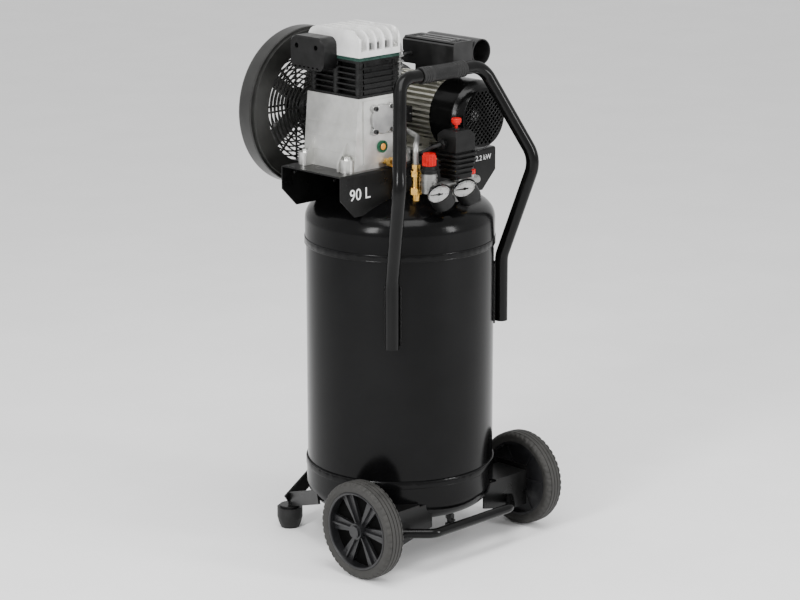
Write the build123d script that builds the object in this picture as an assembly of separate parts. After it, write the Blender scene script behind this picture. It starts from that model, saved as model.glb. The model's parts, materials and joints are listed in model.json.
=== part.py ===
from build123d import *
import os
from math import atan2, cos, degrees, hypot, pi, radians, sin, sqrt

# Upright workshop air compressor on two wheels.
# +Z up, Y from the handle side (-Y) to the belt side (+Y), X along the wheel axles.
# The origin is on the floor, under the axis of the tank.  Millimetres.

# ---- driving dimensions -------------------------------------------------------------
TANK_R = 200.0              # shell outside radius
SHELL_T = 3.0
SEAM_LOW, SEAM_HIGH = 182.0, 660.0      # edges of the two domes' skirts
SKIRT_R = 203.5             # joggled skirt that laps the shell
SKIRT_H = 12.0
DOME_R = 202.0
DOME_TANGENT = 50.0         # from the seam to where the dome starts to curve
CROWN_R, KNUCKLE_R = 450.0, 42.0

PLATE_X, PLATE_FRONT, PLATE_BACK = 231.0, -60.0, 118.0
PLATE_TOP, PLATE_T = 838.0, 3.0
FLANGE_DEPTH, FLANGE_CORNER = 90.0, 40.0

TUBE_R, TUBE_T = 14.0, 2.0              # handle tube
LEG = (164.5, -142.0)                   # the handle leg beside the tank
LEG_LOW, LEG_BEND = 479.0, 621.0
ELBOW = (203.0, -201.0, 833.0)
TOP_CORNER = (121.5, -121.0, 1034.0)
GRIP_L, GRIP_R = 128.0, 17.5

WHEEL_Y, WHEEL_R, TYRE_W, RIM_R = -134.0, 104.0, 44.0, 83.0
WHEEL_X = 244.5                         # middle of the tyre
AXLE_R, AXLE_FIT = 6.0, 0.05
HUB_R, SPOKES = 17.0, 6
BRACKET_Y, BRACKET_X, BRACKET_T = -176.0, 216.0, 4.0
BRACKET_IN, BRACKET_LOW, BRACKET_TOP = 80.0, 58.0, 132.0
RAIL_Y, RAIL_X, RAIL_Z, RAIL_R = -220.0, 118.0, 84.0, 10.0
RAIL_END_X = 160.0                      # where the rail's legs meet the brackets

FOOT = (139.0, 204.0)
FOOT_R, FOOT_H = 28.0, 46.0

CRANK = (-102.0, 941.0)                 # x and z of the crankshaft
PUMP_Y = 32.0                           # middle of the pump
PUMP_FRONT, PUMP_BACK = -44.0, 108.0
CASE_TOP = 988.0
BLOCK_TOP, PLATE_STACK, HEAD_TOP = 1065.0, 7.0, 1126.0
HEAD_HALF_X, HEAD_HALF_Y = 59.0, 76.0
HEAD_FINS, HEAD_FIN_T = 6, 5.5
BORE_R, STROKE, CYLINDER_PITCH = 27.5, 46.0, 76.0
ROD_L, PISTON_H = 76.0, 40.0
PISTON_FIT = 0.06
PIN_R, PIN_GAP, WEB_R = 9.0, 0.3, 35.0
BEARING_BORE, JOURNAL_R = 15.0, 14.95

MOTOR = (148.0, 917.0)                  # x and z of the motor shaft
FRAME_R, FIN_R, FINS, FIN_T = 62.0, 76.0, 40, 4.6
MOTOR_FRONT, MOTOR_BACK = -17.0, 140.0
STATOR_FRONT, STATOR_BACK = 22.0, 108.0
COVER_FRONT, COVER_R = -103.0, 78.0
SHAFT_R = 12.0
BOX_X, BOX_FRONT, BOX_BACK = (78.0, 136.0), -80.0, 70.0
BOX_Z = (1024.0, 1081.0)
SEAT_Z = 998.0                          # top of the seat for the terminal box
CAPACITOR_X, CAPACITOR_Z = 163.0, 1052.5

GUARD_R, GUARD_SMALL_R = 168.0, 86.0
GUARD_IN, GUARD_SPLIT, GUARD_OUT, GUARD_T = 162.0, 172.0, 212.0, 2.5
GRILLE_R, GRILLE_HUB, GRILLE_RINGS, RING_W = 126.0, 34.0, 9, 3.2
BELT_Y, BELT_W, BELT_H = 188.0, 12.0, 8.0
FLYWHEEL_R, PULLEY_R = 134.0, 52.0
BELT_GAP = 1.0                          # belt to groove, all round

SWITCH = (31.0, -134.0)
SWITCH_LOW, SWITCH_SPLIT, SWITCH_TOP = 811.0, 869.0, 912.0
MANIFOLD_Z, MANIFOLD_Y = 798.0, -134.0
REGULATOR_X = -49.0
BONNET_LOW = MANIFOLD_Z + 33.0
BONNET_TOP = BONNET_LOW + 16.0
GAUGES = ((-64.0, -177.0, 796.5), (12.0, -177.0, 796.5))
GAUGE_R, GAUGE_D, GAUGE_WALL = 25.0, 28.0, 1.2
DIAL_DEPTH = 3.4                        # from the face down to the dial
GAUGE_ZERO = 205.0                      # pointer at no pressure, from the dial's right
GAUGE_FACE = Vector(-0.64, -0.1, 0.76).normalized()
CHECK_VALVE = (-52.0, -98.0)
DISCHARGE = (-15.0, -11.0)
OUTLET_X = 77.0
INTAKE_Y = 58.0
OIL_PLUG_Z = PLATE_TOP + 11.0
DRAIN = (74.0, -80.0)
DRAIN_TOP = 78.0


def tube_x(radius, x0, x1, y, z):
    """Cylinder lying along X."""
    return Plane(origin=(x0, y, z), z_dir=(1, 0, 0)) * Cylinder(
        radius, x1 - x0, align=(Align.CENTER, Align.CENTER, Align.MIN))


def tube_y(radius, x, y0, y1, z):
    """Cylinder lying along Y."""
    return Plane(origin=(x, y0, z), z_dir=(0, 1, 0)) * Cylinder(
        radius, y1 - y0, align=(Align.CENTER, Align.CENTER, Align.MIN))


def tube_z(radius, x, y, z0, z1):
    """Upright cylinder."""
    return Pos(x, y, z0) * Cylinder(radius, z1 - z0, align=(Align.CENTER, Align.CENTER, Align.MIN))


def block(x0, x1, y0, y1, z0, z1):
    """Box between two corners."""
    return Pos(x0, y0, z0) * Box(x1 - x0, y1 - y0, z1 - z0, align=(Align.MIN,) * 3)


def bar(start, end, radius):
    """Round bar between two points."""
    run = Vector(*end) - Vector(*start)
    plane = Plane(origin=start, z_dir=run)
    return plane * Cylinder(radius, run.length, align=(Align.CENTER, Align.CENTER, Align.MIN))


def bent(points, radii, radius, bore=0.0):
    """Round tube swept along straight runs joined by tangent arcs."""
    path = FilletPolyline(*points, radius=radii)
    start = Plane(origin=path @ 0, z_dir=path % 0)
    section = start * Circle(radius)
    if bore:
        section -= start * Circle(bore)
    return sweep(section, path)


def hexagon(across_flats, plane, height):
    """Hexagonal prism standing on a plane."""
    return extrude(plane * RegularPolygon(across_flats / sqrt(3), 6), height)


def group(*shapes):
    """Separate solids kept together in one node."""
    solids = []
    for shape in shapes:
        solids += shape.solids()
    return Compound(children=solids)


def mirrored(shape):
    """The same piece on the other side, across X."""
    return mirror(shape, Plane.YZ)


def ring_x(outer, inner, x0, x1, y, z):
    return tube_x(outer, x0, x1, y, z) - tube_x(inner, x0, x1, y, z)


def ring_y(outer, inner, x, y0, y1, z):
    return tube_y(outer, x, y0, y1, z) - tube_y(inner, x, y0, y1, z)


# ---- tank ---------------------------------------------------------------------------
def dome_outline(radius, crown, knuckle, tangent_z, low_z):
    """Half section of a torispherical end, closed on the axis."""
    centre_z = tangent_z - sqrt((CROWN_R - KNUCKLE_R) ** 2 - (DOME_R - KNUCKLE_R) ** 2)
    knuckle_x = DOME_R - KNUCKLE_R
    angle = atan2(tangent_z - centre_z, knuckle_x)
    top = (0, centre_z + crown)
    mid_angle = (angle + pi / 2) / 2
    mid = (crown * cos(mid_angle), centre_z + crown * sin(mid_angle))
    joint = (crown * cos(angle), centre_z + crown * sin(angle))
    bend = (knuckle_x + knuckle * cos(angle / 2), tangent_z + knuckle * sin(angle / 2))
    side = (radius, tangent_z)
    edges = [
        ThreePointArc(top, mid, joint),
        ThreePointArc(joint, bend, side),
        Line(side, (radius, low_z)),
        Line((radius, low_z), (0, low_z)),
        Line((0, low_z), top),
    ]
    return make_face([Plane.XZ * edge for edge in edges])


def dome_solid(offset, low_z):
    """Solid under the top dome's surface, moved in by an offset."""
    face = dome_outline(DOME_R - offset, CROWN_R - offset, KNUCKLE_R - offset,
                        SEAM_HIGH + DOME_TANGENT, low_z)
    return revolve(face, Axis.Z)


def top_dome():
    """Upper end of the tank, with the joggled skirt that laps the shell."""
    skirt = tube_z(SKIRT_R, 0, 0, SEAM_HIGH, SEAM_HIGH + SKIRT_H)
    socket = tube_z(TANK_R, 0, 0, SEAM_HIGH, SEAM_HIGH + SKIRT_H - 4)
    shell = dome_solid(0, SEAM_HIGH + 4) + skirt
    return shell - dome_solid(SHELL_T, SEAM_HIGH) - socket


def bottom_dome():
    """Lower end, the same pressing upside down, with the drain boss."""
    shell = mirror(top_dome(), Plane.XY.offset((SEAM_LOW + SEAM_HIGH) / 2))
    boss = tube_z(13, DRAIN[0], DRAIN[1], DRAIN_TOP - 18, DRAIN_TOP)
    return shell + boss - tube_z(5, DRAIN[0], DRAIN[1], DRAIN_TOP - 20, DRAIN_TOP + 6)


def tank_shell():
    lap = SKIRT_H - 6
    return tube_z(TANK_R, 0, 0, SEAM_LOW - lap, SEAM_HIGH + lap) - tube_z(
        TANK_R - SHELL_T, 0, 0, SEAM_LOW - lap, SEAM_HIGH + lap)


def crown_height(radius):
    """Height of the top dome's outside at a radius, on the crown."""
    centre_z = SEAM_HIGH + DOME_TANGENT - sqrt(
        (CROWN_R - KNUCKLE_R) ** 2 - (DOME_R - KNUCKLE_R) ** 2)
    return centre_z + sqrt(CROWN_R ** 2 - radius ** 2)


# ---- platform, handle, undercarriage -------------------------------------------------
def platform():
    """Folded steel plate with a front and a back flange that follow the dome."""
    low = PLATE_TOP - FLANGE_DEPTH
    outline = Polyline(
        (-PLATE_X, PLATE_TOP), (PLATE_X, PLATE_TOP),
        (PLATE_X, low + FLANGE_CORNER), (PLATE_X - FLANGE_CORNER, low),
        (FLANGE_CORNER - PLATE_X, low), (-PLATE_X, low + FLANGE_CORNER), close=True)
    depth = PLATE_BACK - PLATE_FRONT
    sheet = Pos(0, PLATE_FRONT, 0) * extrude(make_face(Plane.XZ * outline), depth, dir=(0, 1, 0))
    sheet = fillet(sheet.edges().filter_by(Axis.X).group_by(Axis.Z)[-1], 5)
    inside = block(-PLATE_X - 1, PLATE_X + 1, PLATE_FRONT + PLATE_T, PLATE_BACK - PLATE_T,
                   low - 1, PLATE_TOP - PLATE_T)
    inside = fillet(inside.edges().filter_by(Axis.X).group_by(Axis.Z)[-1], 2)
    sheet = sheet - inside
    for x, y in pump_feet() + motor_feet():
        sheet -= tube_z(4, x, y, PLATE_TOP - 2 * PLATE_T, PLATE_TOP + 1)
    return sheet - dome_solid(0, SEAM_HIGH)


def handle_points():
    """Centre line of the handle, from the left foot of the tube to the right."""
    right = [(LEG[0], LEG[1], LEG_LOW), (LEG[0], LEG[1], LEG_BEND), ELBOW, TOP_CORNER]
    left = [(-x, y, z) for x, y, z in right]
    return left + right[::-1]


def handle_frame():
    """Bent tube with a welding strip beside each leg."""
    tube = bent(handle_points(), [60, 70, 45, 45, 70, 60], TUBE_R, TUBE_R - TUBE_T)
    angle = degrees(atan2(LEG[1], LEG[0]))
    reach = hypot(*LEG)
    strip = Rot(0, 0, angle) * block(TANK_R - 1, reach - TUBE_R + 1, -6, 6, LEG_LOW - 6, LEG_BEND - 12)
    strip -= tube_z(TANK_R, 0, 0, LEG_LOW - 10, LEG_BEND)
    return tube + strip + mirrored(strip)


def handle_grip():
    """Rubber sleeve with ribs at both ends."""
    y, z = TOP_CORNER[1], TOP_CORNER[2]
    half = GRIP_L / 2
    sleeve = tube_x(GRIP_R - 1, -half, half, y, z)
    for end in (-1, 1):
        for step in range(4):
            middle = end * (half - 3 - 7 * step)
            sleeve += tube_x(GRIP_R, middle - 2.5, middle + 2.5, y, z)
    return sleeve - tube_x(TUBE_R, -half, half, y, z)


def wheel_brackets():
    """Bent sheet each side: a front plate under the tank and a cheek for the axle."""
    outline = Polyline(
        (BRACKET_IN, BRACKET_LOW + 21), (BRACKET_IN + 96, BRACKET_LOW), (BRACKET_X, BRACKET_LOW),
        (BRACKET_X, BRACKET_TOP), (BRACKET_IN, BRACKET_TOP), close=True)
    front = Pos(0, BRACKET_Y, 0) * extrude(make_face(Plane.XZ * outline), BRACKET_T, dir=(0, 1, 0))
    cheek = block(BRACKET_X - BRACKET_T, BRACKET_X, BRACKET_Y, -88, BRACKET_LOW + 10, BRACKET_TOP + 14)
    web = block(118, BRACKET_X, BRACKET_Y, -96, BRACKET_TOP, BRACKET_TOP + BRACKET_T)
    side = front + cheek + web - tube_z(SKIRT_R, 0, 0, SEAM_LOW - SKIRT_H, SEAM_LOW + 10)
    side -= mirror(dome_solid(0, SEAM_HIGH), Plane.XY.offset((SEAM_LOW + SEAM_HIGH) / 2))
    side -= tube_x(AXLE_R, BRACKET_X - 10, BRACKET_X + 10, WHEEL_Y, WHEEL_R)
    return group(side, mirrored(side))


def front_rail():
    """U of round tube in front of the tank, between the two brackets."""
    overrun = 0.3                           # share of a leg that is cut off along the bracket
    end_x = RAIL_END_X + overrun * (RAIL_END_X - RAIL_X)
    end_y = BRACKET_Y + overrun * (BRACKET_Y - RAIL_Y)
    points = [(-end_x, end_y, RAIL_Z), (-RAIL_X, RAIL_Y, RAIL_Z), (RAIL_X, RAIL_Y, RAIL_Z), (end_x, end_y, RAIL_Z)]
    rail = bent(points, 34, RAIL_R, RAIL_R - 1.5)
    return rail - block(-2 * end_x, 2 * end_x, BRACKET_Y, 0, 0, 2 * RAIL_Z)


def wheel_axles():
    """One bolt a side, with its head inside the bracket and a cap nut outside."""
    bolt = tube_x(AXLE_R, BRACKET_X - 14, WHEEL_X + 14, WHEEL_Y, WHEEL_R)
    nut = Plane(origin=(BRACKET_X - BRACKET_T, WHEEL_Y, WHEEL_R), z_dir=(-1, 0, 0))
    bolt += hexagon(19, nut, 8)
    bolt += tube_x(9, BRACKET_X, BRACKET_X + 4, WHEEL_Y, WHEEL_R)
    bolt += hexagon(17, Plane(origin=(WHEEL_X + 4.5, WHEEL_Y, WHEEL_R), z_dir=(1, 0, 0)), 8)
    return group(bolt, mirrored(bolt))


def foot_struts():
    """Two flat bars to each rubber foot, one from the back and one from the side of the tank."""
    x, y = FOOT
    low = FOOT_H
    legs = []
    for end, rise in (((62, 196), 118.0), ((187, 66), 112.0)):
        dx, dy = end[0] - x, end[1] - y
        run = hypot(dx, dy)
        turn = degrees(atan2(dy, dx))
        slope = degrees(atan2(rise - 62.0, run))
        flat = Box(run + 24, 5, 32, align=(Align.MIN, Align.CENTER, Align.CENTER))
        legs.append(Pos(x, y, low + 16) * Rot(0, 0, turn) * Rot(0, -slope, 0) * Pos(-6, 0, 0) * flat)
    pad = tube_z(22, x, y, low, low + 5)
    side = legs[0] + legs[1] + pad
    side -= block(0, 300, 0, 300, -20, low)
    side -= tube_z(SKIRT_R, 0, 0, SEAM_LOW - SKIRT_H, SEAM_LOW + 60)
    side -= mirror(dome_solid(0, SEAM_HIGH), Plane.XY.offset((SEAM_LOW + SEAM_HIGH) / 2))
    side = max(side.solids(), key=lambda solid: solid.volume)
    return group(side, mirrored(side))


def rubber_feet():
    """Tapered rubber buffers at the back corners."""
    x, y = FOOT
    outline = Polyline((0, 0), (20, 0), (FOOT_R - 3, 12), (FOOT_R, 24), (FOOT_R, FOOT_H), (0, FOOT_H), close=True)
    buffer = Pos(x, y, 0) * revolve(make_face(Plane.XZ * outline), Axis.Z)
    return group(buffer, mirrored(buffer))


# ---- wheels -------------------------------------------------------------------------
def tyre():
    """Solid rubber tyre with crowned tread, right side."""
    half = TYRE_W / 2
    outline = Polyline(
        (RIM_R, -half + 3), (WHEEL_R - 7, -half), (WHEEL_R - 2, -half + 5), (WHEEL_R, 0),
        (WHEEL_R - 2, half - 5), (WHEEL_R - 7, half), (RIM_R, half - 3), close=True)
    turned = revolve(make_face(Plane.XZ * outline), Axis.Z)
    groove = Cylinder(WHEEL_R + 1, 2) - Cylinder(WHEEL_R - 2.5, 2)
    for offset in (-13.5, -4.5, 4.5, 13.5):
        turned -= Pos(0, 0, offset) * groove
    return Pos(WHEEL_X, WHEEL_Y, WHEEL_R) * Rot(0, 90, 0) * turned


def rim():
    """Plastic rim with a closed web, six tapered spokes and a capped hub, right side."""
    half = TYRE_W / 2
    barrel = Cylinder(RIM_R, TYRE_W - 6) - Cylinder(RIM_R - 5, TYRE_W - 6)
    hub = Pos(0, 0, 1) * Cylinder(HUB_R, TYRE_W - 4)
    wheel = barrel + hub + Pos(0, 0, -4) * Cylinder(RIM_R - 3, 4)
    spoke = make_face(Polyline((8, -6), (RIM_R - 2, -17), (RIM_R - 2, 17), (8, 6), close=True))
    for index in range(SPOKES):
        turn = Rot(0, 0, 360 / SPOKES * (index + 0.5))
        wheel += turn * (Pos(0, 0, -2) * extrude(spoke, 8))
        wheel += turn * Pos(RIM_R / 2, 0, 2) * Box(RIM_R - 8, 4, 20)
    wheel += Pos(0, 0, half) * Cylinder(HUB_R - 5, 8)
    wheel -= Pos(0, 0, -half - 5) * Cylinder(
        AXLE_R + AXLE_FIT, TYRE_W + 5.5, align=(Align.CENTER, Align.CENTER, Align.MIN))
    wheel -= Pos(0, 0, 9.5) * Cylinder(11, 12)
    cap = Pos(0, 0, half + 1.5) * Cylinder(HUB_R - 4, 5)
    return Pos(WHEEL_X, WHEEL_Y, WHEEL_R) * Rot(0, 90, 0) * (wheel + cap)


# ---- pump ---------------------------------------------------------------------------
def case_block(inset, low, high):
    """Tapered body of the crankcase, moved in by an inset."""
    base = Pos(CRANK[0], PUMP_Y, low) * Rectangle(150 - 2 * inset, 152 - 2 * inset)
    top = Pos(CRANK[0], PUMP_Y, high) * Rectangle(124 - 2 * inset, 152 - 2 * inset)
    return loft([base, top])


def cylinder_ys():
    return (PUMP_Y - CYLINDER_PITCH / 2, PUMP_Y + CYLINDER_PITCH / 2)


def pump_feet():
    return [(CRANK[0] + sx * 82, PUMP_Y + sy * 62) for sx in (-1, 1) for sy in (-1, 1)]


def crankcase():
    """Cast housing on four feet, with the two main bearing bores."""
    x, z = CRANK
    base = PLATE_TOP
    body = case_block(0, base, CASE_TOP)
    for fx, fy in pump_feet():
        body += tube_z(15, fx, fy, base, base + 26)
        side = 1 if fx > x else -1
        inward = 1 if fy < PUMP_Y else -1
        web = make_face(Plane.XZ * Polyline(
            (x + side * 60, base), (x + side * 96, base), (x + side * 96, base + 18),
            (x + side * 66, base + 66), (x + side * 60, base + 66), close=True))
        body += Pos(0, fy + inward * 13 - 2.5, 0) * extrude(web, 5, dir=(0, 1, 0))
    for side in (-1, 1):
        for level in (34, 62, 90):
            reach = 76 - level * 13 / (CASE_TOP - base)
            body += block(min(x, x + side * reach), max(x, x + side * reach),
                          PUMP_FRONT + 4, PUMP_BACK - 4, base + level, base + level + 2)
    body += block(x - 50, x + 50, PUMP_FRONT - 4, PUMP_FRONT + 4, base + 12, CASE_TOP - 6)
    body += tube_y(40, x, PUMP_BACK - 4, PUMP_BACK + 10, z)
    body -= case_block(7, base + 8, CASE_TOP - 6)
    for y in cylinder_ys():
        body -= tube_z(BORE_R + 3, x, y, CASE_TOP - 10, CASE_TOP + 1)
    body += tube_y(33, x, PUMP_FRONT + 2, PUMP_FRONT + 17, z)
    body += tube_y(33, x, PUMP_BACK - 12, PUMP_BACK, z)
    body -= tube_y(26, x, PUMP_FRONT - 6, PUMP_FRONT + 17, z)
    body -= tube_y(26, x, PUMP_BACK - 14, PUMP_BACK + 3, z)
    body -= tube_y(16, x, PUMP_BACK, PUMP_BACK + 12, z)
    for fx, fy in pump_feet():
        body -= tube_z(4, fx, fy, base, base + 60)
    body -= tube_y(8, x, PUMP_FRONT - 6, PUMP_FRONT + 10, z - 58)
    body -= tube_y(7, x + 14, PUMP_FRONT - 6, PUMP_FRONT + 2, OIL_PLUG_Z)
    body -= tube_x(7, x + 50, x + 90, PUMP_Y, z + 10)
    return max(body.solids(), key=lambda solid: solid.volume)


def cover_holes():
    x, z = CRANK
    return [(x + sx * 24, z + sz * 24) for sx in (-1, 1) for sz in (-1, 1)]


def bearing_cover():
    """Round end cover over the front main bearing, with four screw ears."""
    x, z = CRANK
    front = PUMP_FRONT - 4
    cover = tube_y(31, x, front - 7, front, z)
    cover = chamfer(cover.edges().sort_by(Axis.Y)[0], 1.5)
    for hx, hz in cover_holes():
        cover += tube_y(8.5, hx, front - 6, front, hz)
    cover += tube_y(25.9, x, front, front + 5, z)
    for hx, hz in cover_holes():
        cover -= tube_y(3, hx, front - 8, front + 6, hz) + tube_y(5.3, hx, front - 8, front - 6, hz)
    return cover


def cover_screws():
    """Black socket screws of the bearing cover."""
    front = PUMP_FRONT - 4
    screws = []
    for hx, hz in cover_holes():
        head = tube_y(5, hx, front - 12, front - 6, hz)
        socket = extrude(Plane(origin=(hx, front - 12, hz), z_dir=(0, 1, 0)) * RegularPolygon(2.9, 6), 3.5)
        screws.append(head + tube_y(3, hx, front - 6, front, hz) - socket)
    return group(*screws)


def sight_glass():
    """Oil level window under the bearing cover."""
    x, z = CRANK[0], CRANK[1] - 58
    front = PUMP_FRONT - 4
    body = tube_y(8, x, front, front + 8, z) + tube_y(13, x, front - 5, front, z)
    return body - ring_y(9.5, 7, x, front - 5, front - 3, z)


def oil_breather():
    """Filler cap with its breather, on the motor side of the crankcase."""
    x, z = CRANK[0], CRANK[1] + 10
    wall = x + 62
    cap = tube_x(7, wall - 2, wall + 16, PUMP_Y, z) + tube_x(13, wall + 12, wall + 30, PUMP_Y, z)
    for index in range(10):
        angle = radians(36 * index)
        y_rib, z_rib = PUMP_Y + 13 * cos(angle), z + 13 * sin(angle)
        cap += tube_x(1.6, wall + 12, wall + 30, y_rib, z_rib)
    return cap


def stud_places():
    return [(CRANK[0] + sx * 50, PUMP_Y + sy * 66) for sx in (-1, 1) for sy in (-1, 0, 1)]


def cylinder_block():
    """Twin cylinder barrel with horizontal cooling fins."""
    x = CRANK[0]
    body = block(x - 40, x + 40, PUMP_Y - 70, PUMP_Y + 70, CASE_TOP, BLOCK_TOP)
    body += block(x - 60, x + 60, PUMP_FRONT + 1, PUMP_BACK - 1, CASE_TOP, CASE_TOP + 5)
    body += block(x - 58, x + 58, PUMP_FRONT + 2, PUMP_BACK - 2, BLOCK_TOP - 5, BLOCK_TOP)
    for index in range(5):
        level = CASE_TOP + 13 + index * 11.5
        body += block(x - 57, x + 57, PUMP_Y - 74, PUMP_Y + 74, level, level + 3)
    for sx, sy in stud_places():
        body += tube_z(7.9, sx, sy, CASE_TOP, BLOCK_TOP)
    for y in cylinder_ys():
        body -= tube_z(BORE_R, x, y, CASE_TOP, BLOCK_TOP)
    for sx, sy in stud_places():
        body -= tube_z(4, sx, sy, CASE_TOP, BLOCK_TOP)
    return body


def valve_plate():
    """Steel valve plate between its two gaskets."""
    x, low, high = CRANK[0], BLOCK_TOP, BLOCK_TOP + PLATE_STACK
    body = block(x - 59, x + 59, PUMP_Y - 76, PUMP_Y + 76, low, low + 1.5)
    body += block(x - 57.5, x + 57.5, PUMP_Y - 74.5, PUMP_Y + 74.5, low + 1.5, high - 1.5)
    body += block(x - 59, x + 59, PUMP_Y - 76, PUMP_Y + 76, high - 1.5, high)
    for y in cylinder_ys():
        for dx in (-12, 12):
            body -= tube_z(5, x + dx, y, low, high)
    for sx, sy in stud_places():
        body -= tube_z(4, sx, sy, low, high)
    return body


def cylinder_head():
    """Aluminium head with upright fins along Y and rounded shoulders."""
    x = CRANK[0]
    low = BLOCK_TOP + PLATE_STACK
    body = block(x - HEAD_HALF_X, x + HEAD_HALF_X, PUMP_Y - HEAD_HALF_Y, PUMP_Y + HEAD_HALF_Y, low, low + 12)
    body += block(x - 46, x + 46, PUMP_Y - 62, PUMP_Y + 62, low, low + 34)
    profile = make_face(Plane.YZ * Polyline(
        (PUMP_Y - HEAD_HALF_Y, low), (PUMP_Y + HEAD_HALF_Y, low), (PUMP_Y + HEAD_HALF_Y, HEAD_TOP),
        (PUMP_Y - HEAD_HALF_Y, HEAD_TOP), close=True))
    fin = fillet(extrude(profile, HEAD_FIN_T).edges().filter_by(Axis.X).group_by(Axis.Z)[-1], 26)
    for index in range(HEAD_FINS):
        left = x - HEAD_HALF_X + index * (2 * HEAD_HALF_X - HEAD_FIN_T) / (HEAD_FINS - 1)
        body += Pos(left, 0, 0) * fin
    for y in cylinder_ys():
        body -= block(x - 36, x - 3, y - 26, y + 26, low, low + 26)
        body -= block(x + 3, x + 36, y - 26, y + 26, low, low + 26)
    body -= tube_x(9, x - HEAD_HALF_X - 1, x - 30, INTAKE_Y, low + 16)
    body -= tube_x(6, x + 20, x + HEAD_HALF_X + 1, DISCHARGE[1], low + 16)
    for sx, sy in stud_places():
        body -= tube_z(4, sx, sy, low, HEAD_TOP)
        body -= tube_z(8.5, sx, sy, low + 12, HEAD_TOP)
    return body


def air_filter():
    """Square intake filter on the side of the head, open below through slots."""
    x0, x1 = -201.0, -161.0
    y0, y1, z0, z1 = 22.0, 121.0, 1039.0, 1109.0
    outline = Plane(origin=(x0, (y0 + y1) / 2, (z0 + z1) / 2), z_dir=(1, 0, 0))
    shell = extrude(outline * RectangleRounded(z1 - z0, y1 - y0, 18), x1 - x0)
    shell = chamfer(shell.faces().sort_by(Axis.X)[0].edges(), 3)
    inside = Plane(origin=(x0 + 3, (y0 + y1) / 2, (z0 + z1) / 2), z_dir=(1, 0, 0))
    shell -= extrude(inside * RectangleRounded(z1 - z0 - 6, y1 - y0 - 6, 15), x1 - x0 - 6)
    for y in (y0 + 21, y1 - 21):
        shell += tube_x(9, x0, x1, y, z1 - 21)
        shell -= tube_x(5.5, x0 - 1, x0 + 14, y, z1 - 21)
    for index in range(6):
        y = y0 + 17 + index * 13
        shell -= block(x0 - 1, x0 + 4, y - 3, y + 3, z0 + 5, z0 + 8)
    neck = tube_x(9, x1 - 2, CRANK[0] - 38, INTAKE_Y, BLOCK_TOP + PLATE_STACK + 16)
    neck -= tube_x(6, x1 - 5, CRANK[0] - 38, INTAKE_Y, BLOCK_TOP + PLATE_STACK + 16)
    return shell + neck


def discharge_pipe():
    """Finned pipe from the head down to the check valve on the tank."""
    x, y = DISCHARGE
    port = BLOCK_TOP + PLATE_STACK + 16
    points = [(CRANK[0] + HEAD_HALF_X - 8, y, port), (x, y, port), (x, y, 908), (x, -66, 894),
              (CHECK_VALVE[0], CHECK_VALVE[1], 882), (CHECK_VALVE[0], CHECK_VALVE[1], 838)]
    pipe = bent(points, [12, 18, 18, 16], 6, 4.5)
    pipe += ring_x(9, 5.2, CRANK[0] + HEAD_HALF_X, CRANK[0] + HEAD_HALF_X + 5, y, port)
    for index in range(14):
        level = 930 + index * 10.5
        pipe += tube_z(11, x, y, level, level + 2.2) - tube_z(5.2, x, y, level, level + 2.2)
    return pipe


def zinc_bolts():
    """Head studs' nuts, pump bolts and motor bolts, all M8."""
    bolts = []
    low = BLOCK_TOP + PLATE_STACK + 12
    for x, y in stud_places():
        bolts.append(tube_z(4, x, y, CASE_TOP, low + 10) + hexagon(13, Plane(origin=(x, y, low)), 7))
    for x, y in pump_feet():
        top = PLATE_TOP + 26
        bolts.append(tube_z(4, x, y, PLATE_TOP - PLATE_T - 10, top) + hexagon(13, Plane(origin=(x, y, top)), 6))
    for x, y in motor_feet():
        top = PLATE_TOP + 8
        bolts.append(tube_z(4, x, y, PLATE_TOP - PLATE_T - 10, top) + hexagon(13, Plane(origin=(x, y, top)), 6))
    return group(*bolts)


def crank_bearings():
    """Deep-groove bearings at both ends of the crankshaft, and the motor's pair."""
    x, z = CRANK
    rings = []
    for y in (PUMP_FRONT + 2, PUMP_BACK - 12):
        rings.append(ring_y(26, BEARING_BORE, x, y, y + 15, z))
    x, z = MOTOR
    for y in (MOTOR_FRONT - 8, MOTOR_BACK - 7):
        rings.append(ring_y(26, BEARING_BORE, x, y, y + 15, z))
    return group(*rings)


def crankshaft():
    """Three-part crank: disc webs with the end journals; the pins turn with the rods."""
    x, z = CRANK
    front, rear = cylinder_ys()
    web, half = 8.0, 12.0
    nose = tube_y(JOURNAL_R, x, PUMP_FRONT + 2, front - half - web, z)
    nose += tube_y(WEB_R, x, front - half - web, front - half, z)
    middle = tube_y(WEB_R, x, front + half, front + half + web, z)
    middle += tube_y(WEB_R, x, rear - half - web, rear - half, z)
    middle += tube_y(16, x, front + half + web, rear - half - web, z)
    tail = tube_y(WEB_R, x, rear + half, rear + half + web, z)
    tail += tube_y(JOURNAL_R, x, rear + half + web, PUMP_BACK + 4, z)
    tail += tube_y(SHAFT_R, x, PUMP_BACK + 4, BELT_Y + 16, z)
    return group(nose, middle, tail)


def piston(y, top):
    """Piston with ring grooves and its connecting rod, as two solids."""
    x = CRANK[0]
    pin_z = top - 24
    crown = tube_z(BORE_R - PISTON_FIT, x, y, top - PISTON_H, top)
    crown -= tube_z(21, x, y, top - PISTON_H, top - 7)
    for depth in (5, 10, 15):
        crown -= tube_z(BORE_R + 1, x, y, top - depth - 2, top - depth) - tube_z(
            BORE_R - 1.5, x, y, top - depth - 2, top - depth)
    crown += tube_x(6, x - 22, x + 22, y, pin_z)
    crank_z = pin_z - ROD_L
    rod = tube_y(10, x, y - 8, y + 8, pin_z) + tube_y(15, x, y - 8, y + 8, crank_z)
    rod += block(x - 6, x + 6, y - 5, y + 5, crank_z + 12, pin_z - 8)
    rod -= tube_x(6, x - 22, x + 22, y, pin_z)
    rod += tube_y(PIN_R, x, y - 12 + PIN_GAP, y + 12 - PIN_GAP, crank_z)
    return group(crown, rod)


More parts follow.
